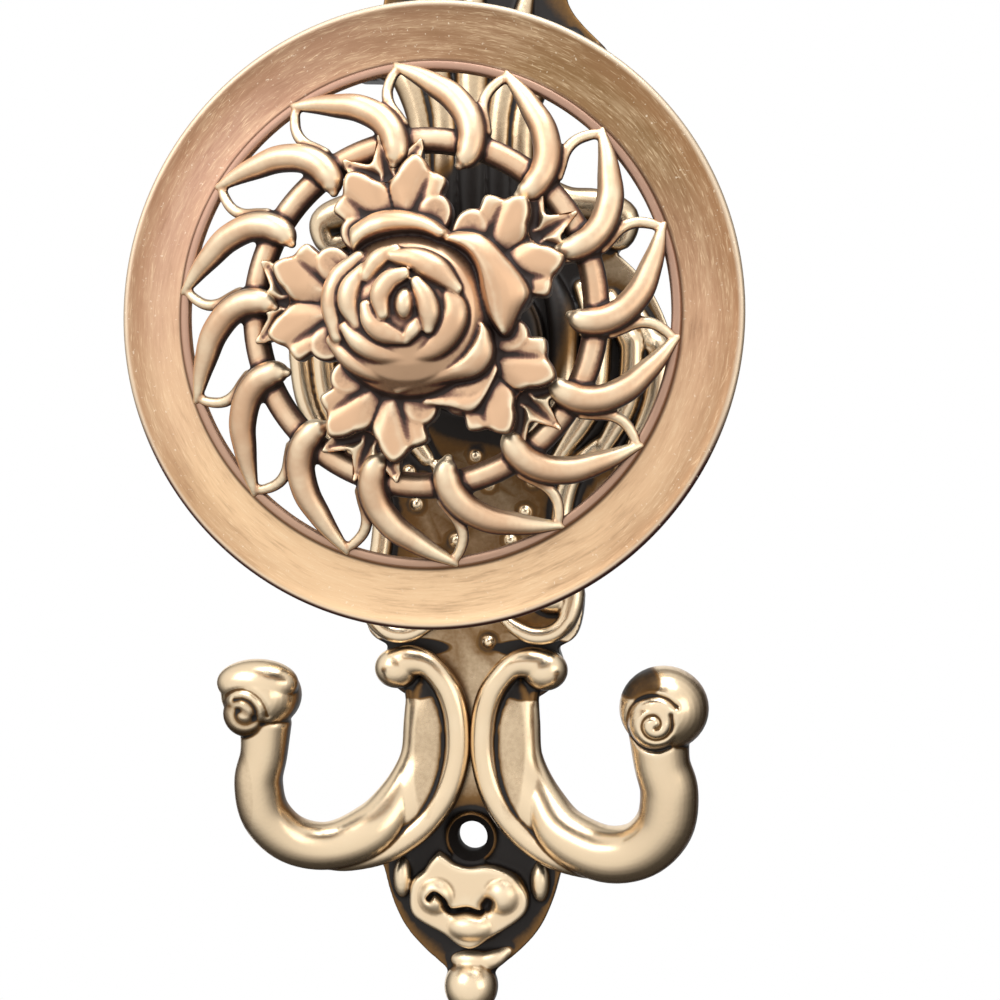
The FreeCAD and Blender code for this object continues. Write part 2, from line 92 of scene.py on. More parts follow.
def start_mesh(places, fill="NGON"):
    """A polygon moved onto (x, y, z) places, open for editing with all of it selected."""
    bpy.ops.mesh.primitive_circle_add(vertices=len(places), radius=MM, fill_type=fill)
    obj = bpy.context.object
    for vertex, place in zip(obj.data.vertices, places):
        vertex.co = [n * MM for n in place]
    bpy.ops.object.mode_set(mode="EDIT")
    bpy.ops.mesh.select_all(action="SELECT")
    return obj


def lift(height):
    """Extrude what is selected upward."""
    bpy.ops.mesh.extrude_region_move(TRANSFORM_OT_translate={"value": (0, 0, height * MM)})


def end_mesh():
    """Turn all faces outward and close the mesh."""
    bpy.ops.mesh.select_all(action="SELECT")
    bpy.ops.mesh.normals_make_consistent(inside=False)
    bpy.ops.object.mode_set(mode="OBJECT")


def flow(knots, per_span=6):
    """Catmull-Rom line through rows of numbers, a few rows for each span."""
    rows = np.array(knots, dtype=float)
    rows = np.vstack([2 * rows[0] - rows[1], rows, 2 * rows[-1] - rows[-2]])
    line = []
    for i in range(1, len(rows) - 2):
        a, b, c, d = rows[i - 1:i + 3]
        for k in range(per_span):
            t = k / per_span
            line.append(0.5 * (2 * b + (c - a) * t + (2 * a - 5 * b + 4 * c - d) * t ** 2
                               + (3 * b - a - 3 * c + d) * t ** 3))
    line.append(rows[-2])
    return np.array(line)


def rounded(line):
    """The line with a half-round added at each end."""
    caps = []
    for end, inner in ((line[0], line[1]), (line[-1], line[-2])):
        way = end[:3] - inner[:3]
        way = way / max(np.linalg.norm(way), 1e-9)
        caps.append([np.append(end[:3] + way * end[3] * out, end[3] * size)
                     for out, size in ((0.5, 0.85), (0.82, 0.55), (0.97, 0.2))])
    return np.vstack([caps[0][::-1], line, caps[1]])


def rod(knots, wide=1.0, per_span=6):
    """A tapered bar along (x, y, z, radius) knots; its section may be wider than high."""
    line = rounded(flow(knots, per_span))
    bpy.ops.curve.primitive_bezier_circle_add(radius=MM)
    section = bpy.context.object
    section.scale = (wide, 1.0, 1.0)
    pick(section)
    bpy.ops.object.transform_apply(location=False, rotation=False, scale=True)
    section.data.resolution_u = 9
    bpy.ops.curve.primitive_nurbs_path_add()
    path = bpy.context.object
    curve = path.data
    curve.splines.clear()
    spline = curve.splines.new("POLY")
    spline.points.add(len(line) - 1)
    for point, (x, y, z, radius) in zip(spline.points, line):
        point.co = (x * MM, y * MM, z * MM, 1.0)
        point.radius = max(radius, 0.05)
    curve.twist_mode = "Z_UP"
    curve.bevel_mode = "OBJECT"
    curve.bevel_object = section
    curve.use_fill_caps = True
    pick(path)
    bpy.ops.object.convert(target="MESH")
    bpy.data.objects.remove(section)
    return bpy.context.object


def egg(x, y, z, radius, wide=1.0, tall=1.0, deep=1.0):
    """A ball, made wider, taller or deeper."""
    bpy.ops.mesh.primitive_uv_sphere_add(segments=36, ring_count=20, radius=radius * MM,
                                         location=(x * MM, y * MM, z * MM), scale=(wide, tall, deep))
    settle()
    return bpy.context.object


def puck(x, y, radius, low, high, sides=64):
    bpy.ops.mesh.primitive_cylinder_add(vertices=sides, radius=radius * MM, depth=(high - low) * MM,
                                        location=(x * MM, y * MM, (low + high) / 2 * MM))
    settle()
    return bpy.context.object


def slab(outline, low, high):
    """A flat plate: an n-gon moved onto its outline and extruded upward."""
    obj = start_mesh([(x, y, low) for x, y in outline])
    lift(high - low)
    end_mesh()
    return obj


def blade(outline, thick, rise):
    """A leaf on an outline of (x, y, z) corners: thickened, with its middle raised inside a thin edge."""
    rim = flow(list(outline) + [outline[0]], 3)[:-1]
    ahead = np.roll(rim, -1, axis=0)
    if np.sum(rim[:, 0] * ahead[:, 1] - rim[:, 1] * ahead[:, 0]) < 0:
        rim = rim[::-1]
    obj = start_mesh([(x, y, z - thick) for x, y, z in rim])
    lift(thick)
    bpy.ops.mesh.inset(thickness=MM / 2, depth=rise * MM, use_even_offset=False)
    end_mesh()
    return obj


def petal_sheet(inner, outer, levels, thick):
    """A broad petal between its inner and outer (x, y, z) edges; levels are (part across, rise) rows."""
    inner, outer = flow(inner, 3), flow(outer, 3)
    rows = []
    for across, rise in levels:
        rows.append(inner + (outer - inner) * across + np.array((0.0, 0.0, rise)))
    bpy.ops.mesh.primitive_grid_add(x_subdivisions=len(inner) - 1, y_subdivisions=len(rows) - 1, size=MM)
    obj = bpy.context.object
    for vertex, place in zip(obj.data.vertices, np.vstack(rows)):
        vertex.co = Vector(place) * MM
    bpy.ops.object.mode_set(mode="EDIT")
    bpy.ops.mesh.select_all(action="SELECT")
    lift(-thick)
    end_mesh()
    modify(obj, "SUBSURF", levels=1, render_levels=1)
    return obj


def behind_wall():
    """Everything behind the wall plane, to cut a casting's flat back."""
    bpy.ops.mesh.primitive_cube_add(size=0.4, location=(0, 0, -0.2))
    settle()
    return bpy.context.object


def turned(profile, steps=192):
    """A piece turned about the z axis from a closed loop of (radius, z) pairs."""
    obj = start_mesh([(radius, 0, z) for radius, z in profile], "NOTHING")
    bpy.ops.mesh.spin(steps=steps, angle=2 * math.pi, center=(0, 0, 0), axis=(0, 0, 1))
    bpy.ops.mesh.select_all(action="SELECT")
    bpy.ops.mesh.remove_doubles(threshold=MM / 500)
    bpy.ops.mesh.dissolve_degenerate(threshold=MM / 500)
    end_mesh()
    return obj


def both_sides(obj):
    modify(obj, "MIRROR", use_axis=(True, False, False))
    return obj


def other_side(obj):
    """The same piece on the other side only."""
    obj.scale = (-1, 1, 1)
    pick(obj)
    bpy.ops.object.transform_apply(location=False, rotation=False, scale=True)
    return obj


def copies_round(obj, count, first_deg):
    """Copies of a piece turned evenly round the z axis, clockwise from the first."""
    made = []
    for k in range(count):
        copy = obj.copy()
        copy.data = obj.data.copy()
        bpy.context.collection.objects.link(copy)
        copy.rotation_euler = (0, 0, math.radians(first_deg - k * 360.0 / count))
        made.append(copy)
    bpy.data.objects.remove(obj)
    pick(*made)
    settle()
    return made


def join(pieces):
    pick(*pieces)
    if len(pieces) > 1:
        bpy.ops.object.join()
    return bpy.context.object


def around(r, deg, z):
    a = math.radians(deg)
    return (r * math.cos(a), r * math.sin(a), z)


# Casting: pieces are melted into one skin, softened, and told how hollow each place is


def neighbour_mean(values, edges, degree):
    total = np.empty_like(values)
    for axis in range(values.shape[1]):
        column = values[:, axis]
        total[:, axis] = (np.bincount(edges[:, 0], column[edges[:, 1]], len(values))
                          + np.bincount(edges[:, 1], column[edges[:, 0]], len(values)))
    return total / degree[:, None]


def mesh_arrays(mesh):
    count = len(mesh.vertices)
    places = np.empty(count * 3)
    mesh.vertices.foreach_get("co", places)
    normals = np.empty(count * 3)
    mesh.vertex_normals.foreach_get("vector", normals)
    edges = np.empty(len(mesh.edges) * 2, dtype=np.int64)
    mesh.edges.foreach_get("vertices", edges)
    return places.reshape(-1, 3), normals.reshape(-1, 3), edges.reshape(-1, 2)


def relief(mesh, grain):
    """Four levels a vertex: crevice (above 0) or ridge (below), hollow, facing the room, shaded."""
    places, normals, edges = mesh_arrays(mesh)
    degree = np.maximum(np.bincount(edges.ravel(), minlength=len(places)), 1)
    smooth = places.copy()
    levels = {}
    for step in range(1, 81):
        smooth = neighbour_mean(smooth, edges, degree)
        if step in (8, 80):
            levels[step] = np.einsum("ij,ij->i", smooth - places, normals) / MM
    # sides turned from the light, which falls from the upper left, kept as a level for painted shade
    away = 0.5 - 0.5 * (normals[:, 1] * 0.88 - normals[:, 0] * 0.47)
    return np.column_stack([np.clip(levels[8] / (grain * 0.4), -1, 1),
                            np.clip(levels[80] / (grain * 2.4), 0, 1),
                            np.clip(normals[:, 2], 0, 1), away])


def carve(obj, grooves, ceiling):
    """Press grooves, each (x, y) points, a half width and a depth, into a front below a ceiling."""
    places, normals, _ = mesh_arrays(obj.data)
    spots = places[:, :2] / MM
    sunk = np.zeros(len(places))
    open_front = (normals[:, 2] > 0.15) & (places[:, 2] < ceiling * MM)
    for points, half, depth in grooves:
        line = flow(points, 10)
        low, high = line.min(axis=0) - half * 2.5, line.max(axis=0) + half * 2.5
        near = np.flatnonzero(np.all((spots > low) & (spots < high), axis=1) & open_front)
        gap = np.full(len(near), 1e9)
        for spot in line:
            gap = np.minimum(gap, np.hypot(*(spots[near] - spot).T))
        sunk[near] = np.maximum(sunk[near], depth * np.exp(-(gap / half) ** 2))
    places[:, 2] -= sunk * MM
    obj.data.vertices.foreach_set("co", places.ravel())
    obj.data.update()


def cast(name, pieces, voxel, soften=4, limit=190000, cuts=(), grooves=(), ceiling=100.0):
    """Melt pieces into one skin, cut its holes, thin it to a triangle limit and store its relief."""
    obj = join(pieces)
    modify(obj, "REMESH", mode="VOXEL", voxel_size=voxel * MM)
    modify(obj, "SMOOTH", factor=0.5, iterations=soften)
    carve(obj, grooves, ceiling)
    levels = relief(obj.data, voxel)
    tree = kdtree.KDTree(len(obj.data.vertices))
    for vertex in obj.data.vertices:
        tree.insert(vertex.co, vertex.index)
    tree.balance()
    for cutter in cuts:
        modify(obj, "BOOLEAN", operation="DIFFERENCE", solver="MANIFOLD", object=cutter)
        bpy.data.objects.remove(cutter)
    mesh = obj.data
    triangles = sum(len(p.vertices) - 2 for p in mesh.polygons)
    if triangles > limit:
        modify(obj, "DECIMATE", ratio=limit / triangles)
    obj.data.validate()
    store_relief(obj, [levels[tree.find(v.co)[1]] for v in obj.data.vertices])
    obj.name = name
    obj.data.name = name
    return obj


def store_relief(obj, levels):
    layer = obj.data.attributes.new("relief", "FLOAT_COLOR", "POINT")
    layer.data.foreach_set("color", np.array(levels, dtype=np.float32).ravel())


def finish_piece(obj, paint, slot, *nodes):
    """Stand the piece up against the wall, shade, paint and place it in the frame."""
    pick(obj)
    obj.rotation_euler = (math.pi / 2, 0, 0)
    settle()
    bpy.ops.object.shade_smooth_by_angle(angle=math.radians(55))
    obj.data.materials.clear()
    obj.data.materials.append(paint)
    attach(obj, BODY)
    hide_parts(*nodes)
    return obj


# Shader maths


class Level:
    """A shader socket that sums can be written with."""

    def __init__(self, bench, socket):
        self.bench = bench
        self.socket = socket

    def sum_with(self, operation, *others):
        return self.bench.node("ShaderNodeMath", {"operation": operation}, *others)

    def __add__(self, other):
        return self.sum_with("ADD", self, other)

    __radd__ = __add__

    def __sub__(self, other):
        return self.sum_with("SUBTRACT", self, other)

    def __rsub__(self, other):
        return self.sum_with("SUBTRACT", other, self)

    def __mul__(self, other):
        return self.sum_with("MULTIPLY", self, other)

    __rmul__ = __mul__

    def __pow__(self, other):
        return self.sum_with("POWER", self, other)

    def most(self, other):
        return self.sum_with("MAXIMUM", self, other)

    def away(self):
        return self.sum_with("ABSOLUTE", self)

    def step(self, low, high):
        """0 below low, 1 above high and smooth between."""
        return self.bench.node("ShaderNodeMapRange", {"interpolation_type": "SMOOTHSTEP"}, self, low, high)


class Bench:
    """A material's nodes."""

    def __init__(self, name):
        self.material = bpy.data.materials.new(name)
        self.material.use_nodes = True
        self.tree = self.material.node_tree
        self.shader = self.tree.nodes["Principled BSDF"]

    def node(self, kind, settings, *values, output=0, **named):
        """Any node: its settings are set first, then its sockets in order or by name."""
        made = self.tree.nodes.new(kind)
        for key, value in settings.items():
            if key == "stops":
                self.set_stops(made.color_ramp, value)
            else:
                setattr(made, key, value)
        for index, value in enumerate(values):
            self.feed(made.inputs[index], value)
        for key, value in named.items():
            self.feed(made.inputs[key.replace("_", " ")], value)
        return Level(self, made.outputs[output])

    def set_stops(self, ramp, stops):
        while len(ramp.elements) < len(stops):
            ramp.elements.new(1.0)
        for element, (place, colour) in zip(ramp.elements, stops):
            element.position = place
            element.color = (*colour, 1.0)

    def feed(self, socket, value):
        if isinstance(value, Level):
            self.tree.links.new(value.socket, socket)
        else:
            socket.default_value = value

    def place(self):
        return self.node("ShaderNodeTexCoord", {}, output="Object")

    def noise(self, scale, detail=3.0, where=None, roughness=0.55):
        where = where or self.place()
        return self.node("ShaderNodeTexNoise", {}, Vector=where, Scale=scale, Detail=detail,
                         Roughness=roughness)

    def blend(self, low, high, amount, mode="MIX"):
        """Mix two colours."""
        made = self.tree.nodes.new("ShaderNodeMix")
        made.data_type = "RGBA"
        made.blend_type = mode
        made.clamp_factor = True
        self.feed(made.inputs[0], amount)
        for socket, colour in ((made.inputs[6], low), (made.inputs[7], high)):
            self.feed(socket, colour if isinstance(colour, Level) else (*colour, 1.0))
        return Level(self, made.outputs[2])

    def axes(self):
        """Right, away from the room and up, in millimetres."""
        parts = self.tree.nodes.new("ShaderNodeSeparateXYZ")
        self.feed(parts.inputs[0], self.place())
        return [Level(self, parts.outputs[i]) * (1 / MM) for i in range(3)]

    def relief(self):
        """Crevice, ridge, hollow, facing and shade levels that the casting step stored."""
        made = self.tree.nodes.new("ShaderNodeAttribute")
        made.attribute_name = "relief"
        colour = Level(self, made.outputs["Color"])
        parts = self.tree.nodes.new("ShaderNodeSeparateColor")
        self.feed(parts.inputs[0], colour)
        fine, hollow, facing = [Level(self, parts.outputs[i]) for i in range(3)]
        return fine.most(0.0), (fine * -1.0).most(0.0), hollow, facing, Level(self, made.outputs["Alpha"])

    def spot(self, x, z, middle_x, middle_z, half_x, half_z):
        """1 inside an ellipse on the wall, fading out at its edge."""
        across, along = (x - middle_x) * (1 / half_x), (z - middle_z) * (1 / half_z)
        return 1.0 - (across * across + along * along).step(0.6, 1.3)

    def paint(self, **sockets):
        for key, value in sockets.items():
            self.feed(self.shader.inputs[key.replace("_", " ")], value)
        return self.material


def linear(colour):
    """A screen colour of 0 to 255 as scene light."""
    out = []
    for level in colour:
        c = level / 255.0
        out.append(c / 12.92 if c <= 0.04045 else ((c + 0.055) / 1.055) ** 2.4)
    return tuple(out)


def length(name, about, value, low, high):
    return FloatProperty(name=name, description=about, default=value, min=low, max=high)


def count_of(name, about, value, low, high):
    return IntProperty(name=name, description=about, default=value, min=low, max=high)


def brass_colour(name, about, screen):
    return FloatVectorProperty(name=name, description=about, subtype="COLOR", default=linear(screen), min=0,
                               max=1)


class HoldbackSizes(bpy.types.PropertyGroup):
    """Sizes that a user would change, in millimetres"""
    rim_radius: length("Rim radius", "Outer radius of the dished flange", RIM_RADIUS, 40, 70)
    opening_radius: length("Opening radius", "Radius of the opening in the flange", 42.4, 30, 60)
    rim_plane: length("Rim plane", "Distance of the flange from the wall", 62.0, 40, 90)
    crescents: count_of("Crescents", "Number of crescents in the openwork", 14, 6, 24)
    leaf_sprays: count_of("Leaf sprays", "Number of leaf sprays round the rose", 5, 3, 8)
    ring_radius: length("Ring radius", "Mean radius of the inner ring", 29.8, 20, 40)
    slab_thickness: length("Plate thickness", "Thickness of the wall plate's ground", 4.6, 2, 8)


class HoldbackFinish(bpy.types.PropertyGroup):
    """Colours of the antique brass"""
    worn: brass_colour("Worn brass", "Edges that hands have polished", (252, 230, 196))
    cream: brass_colour("Cream brass", "Open faces of the plate and hooks", (248, 223, 187))
    tan: brass_colour("Tan brass", "Open faces of the medallion", (224, 184, 148))
    # the patina colours below also paint shade on slopes, on sides turned from the light and at steep edges,
    # and black paints the shadow behind the medallion
    umber: brass_colour("Umber patina", "Slopes and shallow hollows of the plate", (128, 95, 58))
    brown: brass_colour("Brown patina", "Slopes and shallow hollows of the medallion", (130, 97, 84))
    black: brass_colour("Black patina", "Deep recesses of the plate", (24, 17, 13))
    pit: brass_colour("Dark patina", "Deep recesses of the medallion", (44, 29, 24))
    bright: brass_colour("Bright flange", "Lower left of the brushed face", (238, 202, 160))
    olive: brass_colour("Olive flange", "Upper right of the brushed face", (134, 104, 68))


def sizes():
    return bpy.context.scene.holdback_sizes


def finish():
    return bpy.context.scene.holdback_finish


def antique_brass(bench, base, patina, pit, gloss, slopes, uneven, patina_and_painted_shade, matte=0.0):
    """Cast brass: polished ridges, patina on the slopes and dark patina in the recesses, with painted shade
    on the slopes, on sides turned from the light and at the steep edges.
    """
    colours = finish()
    crevice, ridge, hollow, facing, shade = bench.relief()
    cloud = bench.noise(110.0, 4.0)
    grain = bench.noise(1100.0, 3.0)
    # painted shade: slopes darken, most on the sides turned from the light
    slope = (1.0 - facing.step(0.5, 0.97)) * (0.3 + shade)
    # painted shade and painted dark reflection along the steep edges, strongest on the shaded side
    edge = (1.0 - facing.step(0.1, 0.7)) * (0.2 + shade)
    # dark patina in crevices and hollows, less on polished ridges; the passed-in level adds place-bound
    # patina and painted shade
    patina_and_painted_shade = patina_and_painted_shade + slope * slopes + edge * 0.85 + crevice * 0.7 + hollow * 0.6 - ridge * 0.2
    patina_and_painted_shade = patina_and_painted_shade + (cloud - 0.5) * uneven + (grain - 0.5) * uneven
    # worn brass on polished ridges and in clouds; giving less of it to the sides turned from the light is
    # painted shade
    colour = bench.blend(base, tuple(colours.worn),
                         (ridge * 0.9 + cloud * 1.2 - 0.55 - shade * 0.2).step(0.1, 0.9))
    colour = bench.blend(colour, patina, patina_and_painted_shade.step(0.14, 0.66))
    colour = bench.blend(colour, pit, patina_and_painted_shade.step(0.6, 1.05))
    rough = patina_and_painted_shade.step(0.2, 1.0) * 0.2 + (grain - 0.5) * 0.06 + gloss + matte
    bump = bench.node("ShaderNodeBump", {}, Strength=0.08, Distance=0.0001, Height=grain)
    metal = 1.0 - patina_and_painted_shade.step(0.6, 1.1) * 0.75
    return bench.paint(Base_Color=colour, Roughness=rough, Metallic=metal, Normal=bump)


def plate_brass():
    """Wall plate: near-black painted shadow behind the medallion, painted shadow under the lobes and volutes
    and painted shade in the lower countersink, brown ground, a dark patch on each head (painted shade in the
    left one's curl).
    """
    bench = Bench("plate_brass_finish")
    x, depth, z = bench.axes()
    side = x.away()
    plate = (depth + 18.0).step(0.0, 6.0)
    ground = (depth + 5.3).step(0.0, 0.6)
    low = (depth + 8.6).step(0.0, 1.0)
    patina_and_painted_shade = ground * 0.4 + (z - 14.0).step(0.0, 14.0) * 0.42
    for across, middle_x, middle_z, half_x, half_z, strength in (
            (x, 2.6, 8.0, 20.0, 29.0, plate * 1.1),            # painted shadow behind the medallion
            (side, 12.8, -71.6, 6.0, 2.4, low * 0.7),          # painted shadow under the lobes of the bands
            (side, 14.0, -63.2, 9.0, 2.0, ground),             # painted shadow below the upper volutes
            (side, 8.6, -84.0, 3.2, 15.0, 0.38),               # channels beside the bands
            (x, 0.0, -102.5, 5.8, 5.8, 1.0),                   # painted shade in the countersink round the lower screw hole
            (x, 0.0, -118.0, 26.0, 22.0, ground * 0.42),       # ground of the drop
            (x, -42.4, -75.4, 5.0, 4.4, 0.45),                 # painted shade in the curl of the left head
            (x, 35.0, -67.4, 5.0, 3.4, 0.8),                   # top left of the right head
            (x, -43.4, -91.0, 2.6, 9.0, 0.3),                  # outer side of the left arm
            (x, 36.8, -89.0, 1.8, 8.0, 0.15)):                 # inner side of the right arm
        patina_and_painted_shade = patina_and_painted_shade + bench.spot(across, z, middle_x, middle_z, half_x, half_z) * strength
    drop_mass = bench.spot(x, z, 0.0, -115.0, 17.0, 15.0) * 0.14
    colours = [tuple(finish().cream), tuple(finish().umber), tuple(finish().black)]
    return antique_brass(bench, *colours, 0.25, 0.2, 0.14, patina_and_painted_shade, drop_mass)


def medallion_brass():
    """Leaves, crescents and rose; the ring behind the crescents and the feet of the leaves are browner,
    patina together with painted shade under the parts above them.
    """
    bench = Bench("medallion_brass_finish")
    x, depth, z = bench.axes()
    radius = (x * x + z * z) ** 0.5
    # patina and painted shade on the low ring under the crescents and on the low feet of the leaves
    ring = (32.6 - radius).step(0.0, 0.5) * (radius - 27.0).step(0.0, 0.5) * (depth + 66.9).step(0.0, 0.5)
    foot = (1.0 - (radius - 17.0).step(0.0, 7.0)) * (radius - 13.0).step(0.0, 1.0)
    foot = foot * (depth + 73.2).step(0.0, 0.5)
    colours = [tuple(finish().tan), tuple(finish().brown), tuple(finish().pit)]
    return antique_brass(bench, *colours, 0.4, 0.42, 0.28, ring * 0.36 + foot * 0.3)


def brushed_flange():
    """The dished flange: brushed strokes along the rim, cream below and olive towards the upper right."""
    bench = Bench("brushed_flange")
    colours = finish()
    x, _, z = bench.axes()
    radius = (x * x + z * z) ** 0.5
    cloud = bench.noise(38.0, 4.0)
    inverse = radius ** -1.0
    strokes, scratches = 0.0, 0.0
    for turns, rows, wave, strength in ((4.5, 0.55, 2.6, 0.65), (8.0, 2.4, 5.0, 0.6)):
        where = bench.node("ShaderNodeCombineXYZ", {}, x * inverse * turns, z * inverse * turns,
                           radius * rows + cloud * wave)
        strokes = strokes + (bench.noise(1.0, 4.0, where, 0.6) - 0.5) * strength
    for lean in (0.5, -0.8):
        where = bench.node("ShaderNodeCombineXYZ", {}, x * inverse * 20.0, z * inverse * 20.0,
                           radius * 5.5 + (x + z) * lean)
        scratches = scratches + bench.noise(1.0, 2.0, where, 0.5).step(0.58, 0.76)
    slant = (x * 0.35 + z * 0.94) * 0.02
    tone = bench.blend(tuple(colours.bright), linear((198, 155, 124)), (slant + cloud * 0.5).step(-0.7, 1.0))
    tone = bench.blend(tone, tuple(colours.olive), (slant + cloud * 0.4).step(0.45, 1.15))
    fleck = bench.noise(1500.0, 2.0).step(0.66, 0.76)
    # the outer left and right of the flange, darkened as painted shade
    edge = (x.away() * 0.03 - 0.4).step(0.0, 0.9)
    # pinkish upper left, dark strokes, painted shade at the outer left and right edge, top, bright strokes,
    # worn rim with a painted highlight along it, painted shade on the rim's underside, lip and the groove
    # beside the lip
    for screen, amount in (
            ((190, 148, 128), (z * 0.011 - x * 0.014 + cloud * 0.6).step(0.45, 1.2) * 0.75),
            ((120, 86, 60), (cloud * 0.7 - strokes * 1.3 - 0.34).step(0.0, 0.6) * 0.7),
            ((168, 126, 90), (radius - 48.0).step(0.0, 5.0) * edge * 0.6),
            ((150, 116, 84), (z * 0.03 - 0.7).step(0.0, 0.8) * 0.45),
            ((252, 224, 184), (strokes + scratches * 0.28).step(-0.08, 0.45) * 0.5),
            ((254, 238, 212), (radius - 53.6).step(0.0, 0.8) * 0.6 + fleck * 0.5),
            ((104, 70, 62), (radius - 54.1).step(0.0, 0.5) * (z * -0.05 - fleck).step(0.6, 1.4)),
            ((180, 144, 126), (44.3 - radius).step(0.0, 0.15) * 0.8),
            ((84, 60, 48), 0.75 - (radius - 44.4).away().step(0.0, 0.5) * 0.75)):
        tone = bench.blend(tone, linear(screen), amount)
    rough = 0.46 - strokes * 0.12 + cloud * 0.08
    bump = bench.node("ShaderNodeBump", {}, Strength=0.2, Distance=0.0001, Height=strokes + scratches * 0.3)
    return bench.paint(Base_Color=tone, Roughness=rough, Metallic=1.0, Normal=bump)


def paint_of(name, make):
    return bpy.data.materials.get(name) or make()


# Wall plate


def half_outline(runs):
    half = []
    for run in runs:
        half.extend(flow(run, 5)[:-1].tolist())
    return half + [list(runs[-1][-1])]


def outline_of(right, left):
    """The right half's runs and the mirrored left half's as one smooth closed outline."""
    return [tuple(p) for p in half_outline(right)] + [(-x, y) for x, y in reversed(half_outline(left)[1:-1])]


def plate_ground():
    """The flat ground of the plate with its seat for the stem and its hole bosses."""
    upper = [[(0, 86), (5.5, 83), (8.5, 77.5)],
             [(8.5, 77.5), (14, 78), (18.2, 74), (19.6, 69.5), (22, 65.8), (27.1, 60.5)],
             [(27.1, 60.5), (28.4, 57.6), (24.6, 55.2), (18, 54.4), (13.8, 51), (13, 45)],
             [(13, 45), (13.2, 37), (18, 31.8), (26, 30.8), (32.5, 28), (33.2, 22.5), (29.6, 18.4)]]
    right = [[(29.6, 18.4), (35, 13), (38.8, 6.5), (41.2, -1), (41, -9), (38.4, -17), (30.5, -29)],
             [(30.5, -29), (24.4, -35), (21.6, -43), (23.2, -52), (21.8, -60), (17.8, -63)]]
    left = [[(29.6, 18.4), (34.5, 13), (38, 6.5), (39.2, -1), (38.2, -9), (34.4, -18), (26, -27)],
            [(26, -27), (22, -33), (20.8, -42), (23, -52), (21.8, -60), (17.8, -63)]]
    lower = [[(17.8, -63), (18.8, -66.8), (16.6, -71.2), (13.4, -73.6)],
             [(13.4, -73.6), (12.4, -84), (17, -95), (21, -103), (18.5, -109.5)],
             [(18.5, -109.5), (16.9, -115.2), (14.4, -120.7), (10.7, -125.2), (5.6, -129.6)],
             [(5.6, -129.6), (2.8, -133), (0, -134)]]
    ground = slab(outline_of(upper + right + lower, upper + left + lower), 0, sizes().slab_thickness)
    pieces = [ground, puck(0, 0, 15, 0, 6.8)]
    for y in SCREW_HOLES:
        pieces.append(puck(0, y, 5.4, 0, 5.6))
    return pieces


def crest():
    """The fluted plume and its side leaves."""
    pieces = []
    for foot, tip, top, w in ((0, 0, 78, 3.3), (5.4, 11, 71, 3), (9.6, 20.5, 62, 2.8)):
        flute = rod([(foot, 19, 5, w * 0.5), (foot * 1.05, 33, 6.2, w * 0.9), (foot * 1.1, 46, 6.4, w),
                     ((foot + tip) / 2, 57, 6, w), (tip, top, 4.6, w * 0.5)], 1.1)
        pieces.append(both_sides(flute) if foot else flute)
    leaf = rod([(13.4, 52.4, 4.4, 1.2), (17.6, 56.2, 5.2, 2.2), (21.8, 58.2, 5.2, 2.3),
                (25.4, 58.7, 4.4, 1.4)])
    pieces.append(both_sides(leaf))
    pieces.append(both_sides(egg(25.4, 58.4, 4.4, 2.5)))
    return pieces


def side_scrolls():
    """Fluted C-scrolls at the widest part, a little longer on the right, and the rolled lobes over them."""
    pieces = []
    for x in (19, 25.2, 31.4, 36.2):
        reach = (x - 19) / 17.2
        top, w = 13.5 - 6 * reach, 2.85 - 0.6 * reach
        for side, far in ((1, 2.2 * reach), (-1, 0)):
            flute = rod([(x - 3, top, 4.4, w * 0.6), (x - 0.4 + far * 0.6, top - 8, 6, w),
                         (x + far, -2, 6.5, w), (x - 1.8 + far * 1.3, -13, 6.1, w),
                         (x - 9.4 + 1.6 * reach + far, -24 - far, 4.4, w * 0.55)], 1.05)
            pieces.append(flute if side > 0 else other_side(flute))
    lobe = rod([(13, 33, 4.6, 2.2), (19.5, 28.5, 6.2, 3.1), (26, 27.5, 6.4, 3.3), (31.3, 25.2, 6, 2.9),
                (30.6, 20.8, 5.6, 2.2), (27, 21.4, 5.4, 1.6)], 1.05)
    fold = rod([(15.6, 15, 4.6, 1.2), (14.4, 21, 5.4, 1.6), (18, 24.6, 5.8, 1.8), (23, 23.4, 5.6, 1.3)])
    return pieces + [both_sides(lobe), both_sides(fold)]


def waist_frame():
    """The raised edge down the waist, which curls round the eyes of the upper volutes."""
    edge = rod([(28, -19, 4.4, 1.3), (21.6, -26, 5.4, 2.1), (18.8, -34.5, 5.8, 2.2), (19.2, -44, 6.2, 2.3),
                (21.2, -51, 7, 2.35), (20.2, -56.6, 7.8, 2.1), (17.4, -59.6, 8.2, 1.9),
                (13.4, -60.3, 8.4, 1.85), (9.6, -58.8, 8.2, 1.6), (6.6, -56.6, 7.6, 1.1)])
    eye = egg(16.8, -53, 6.2, 3.5, 1.15, 0.82, 1)
    return [both_sides(edge), both_sides(eye)]


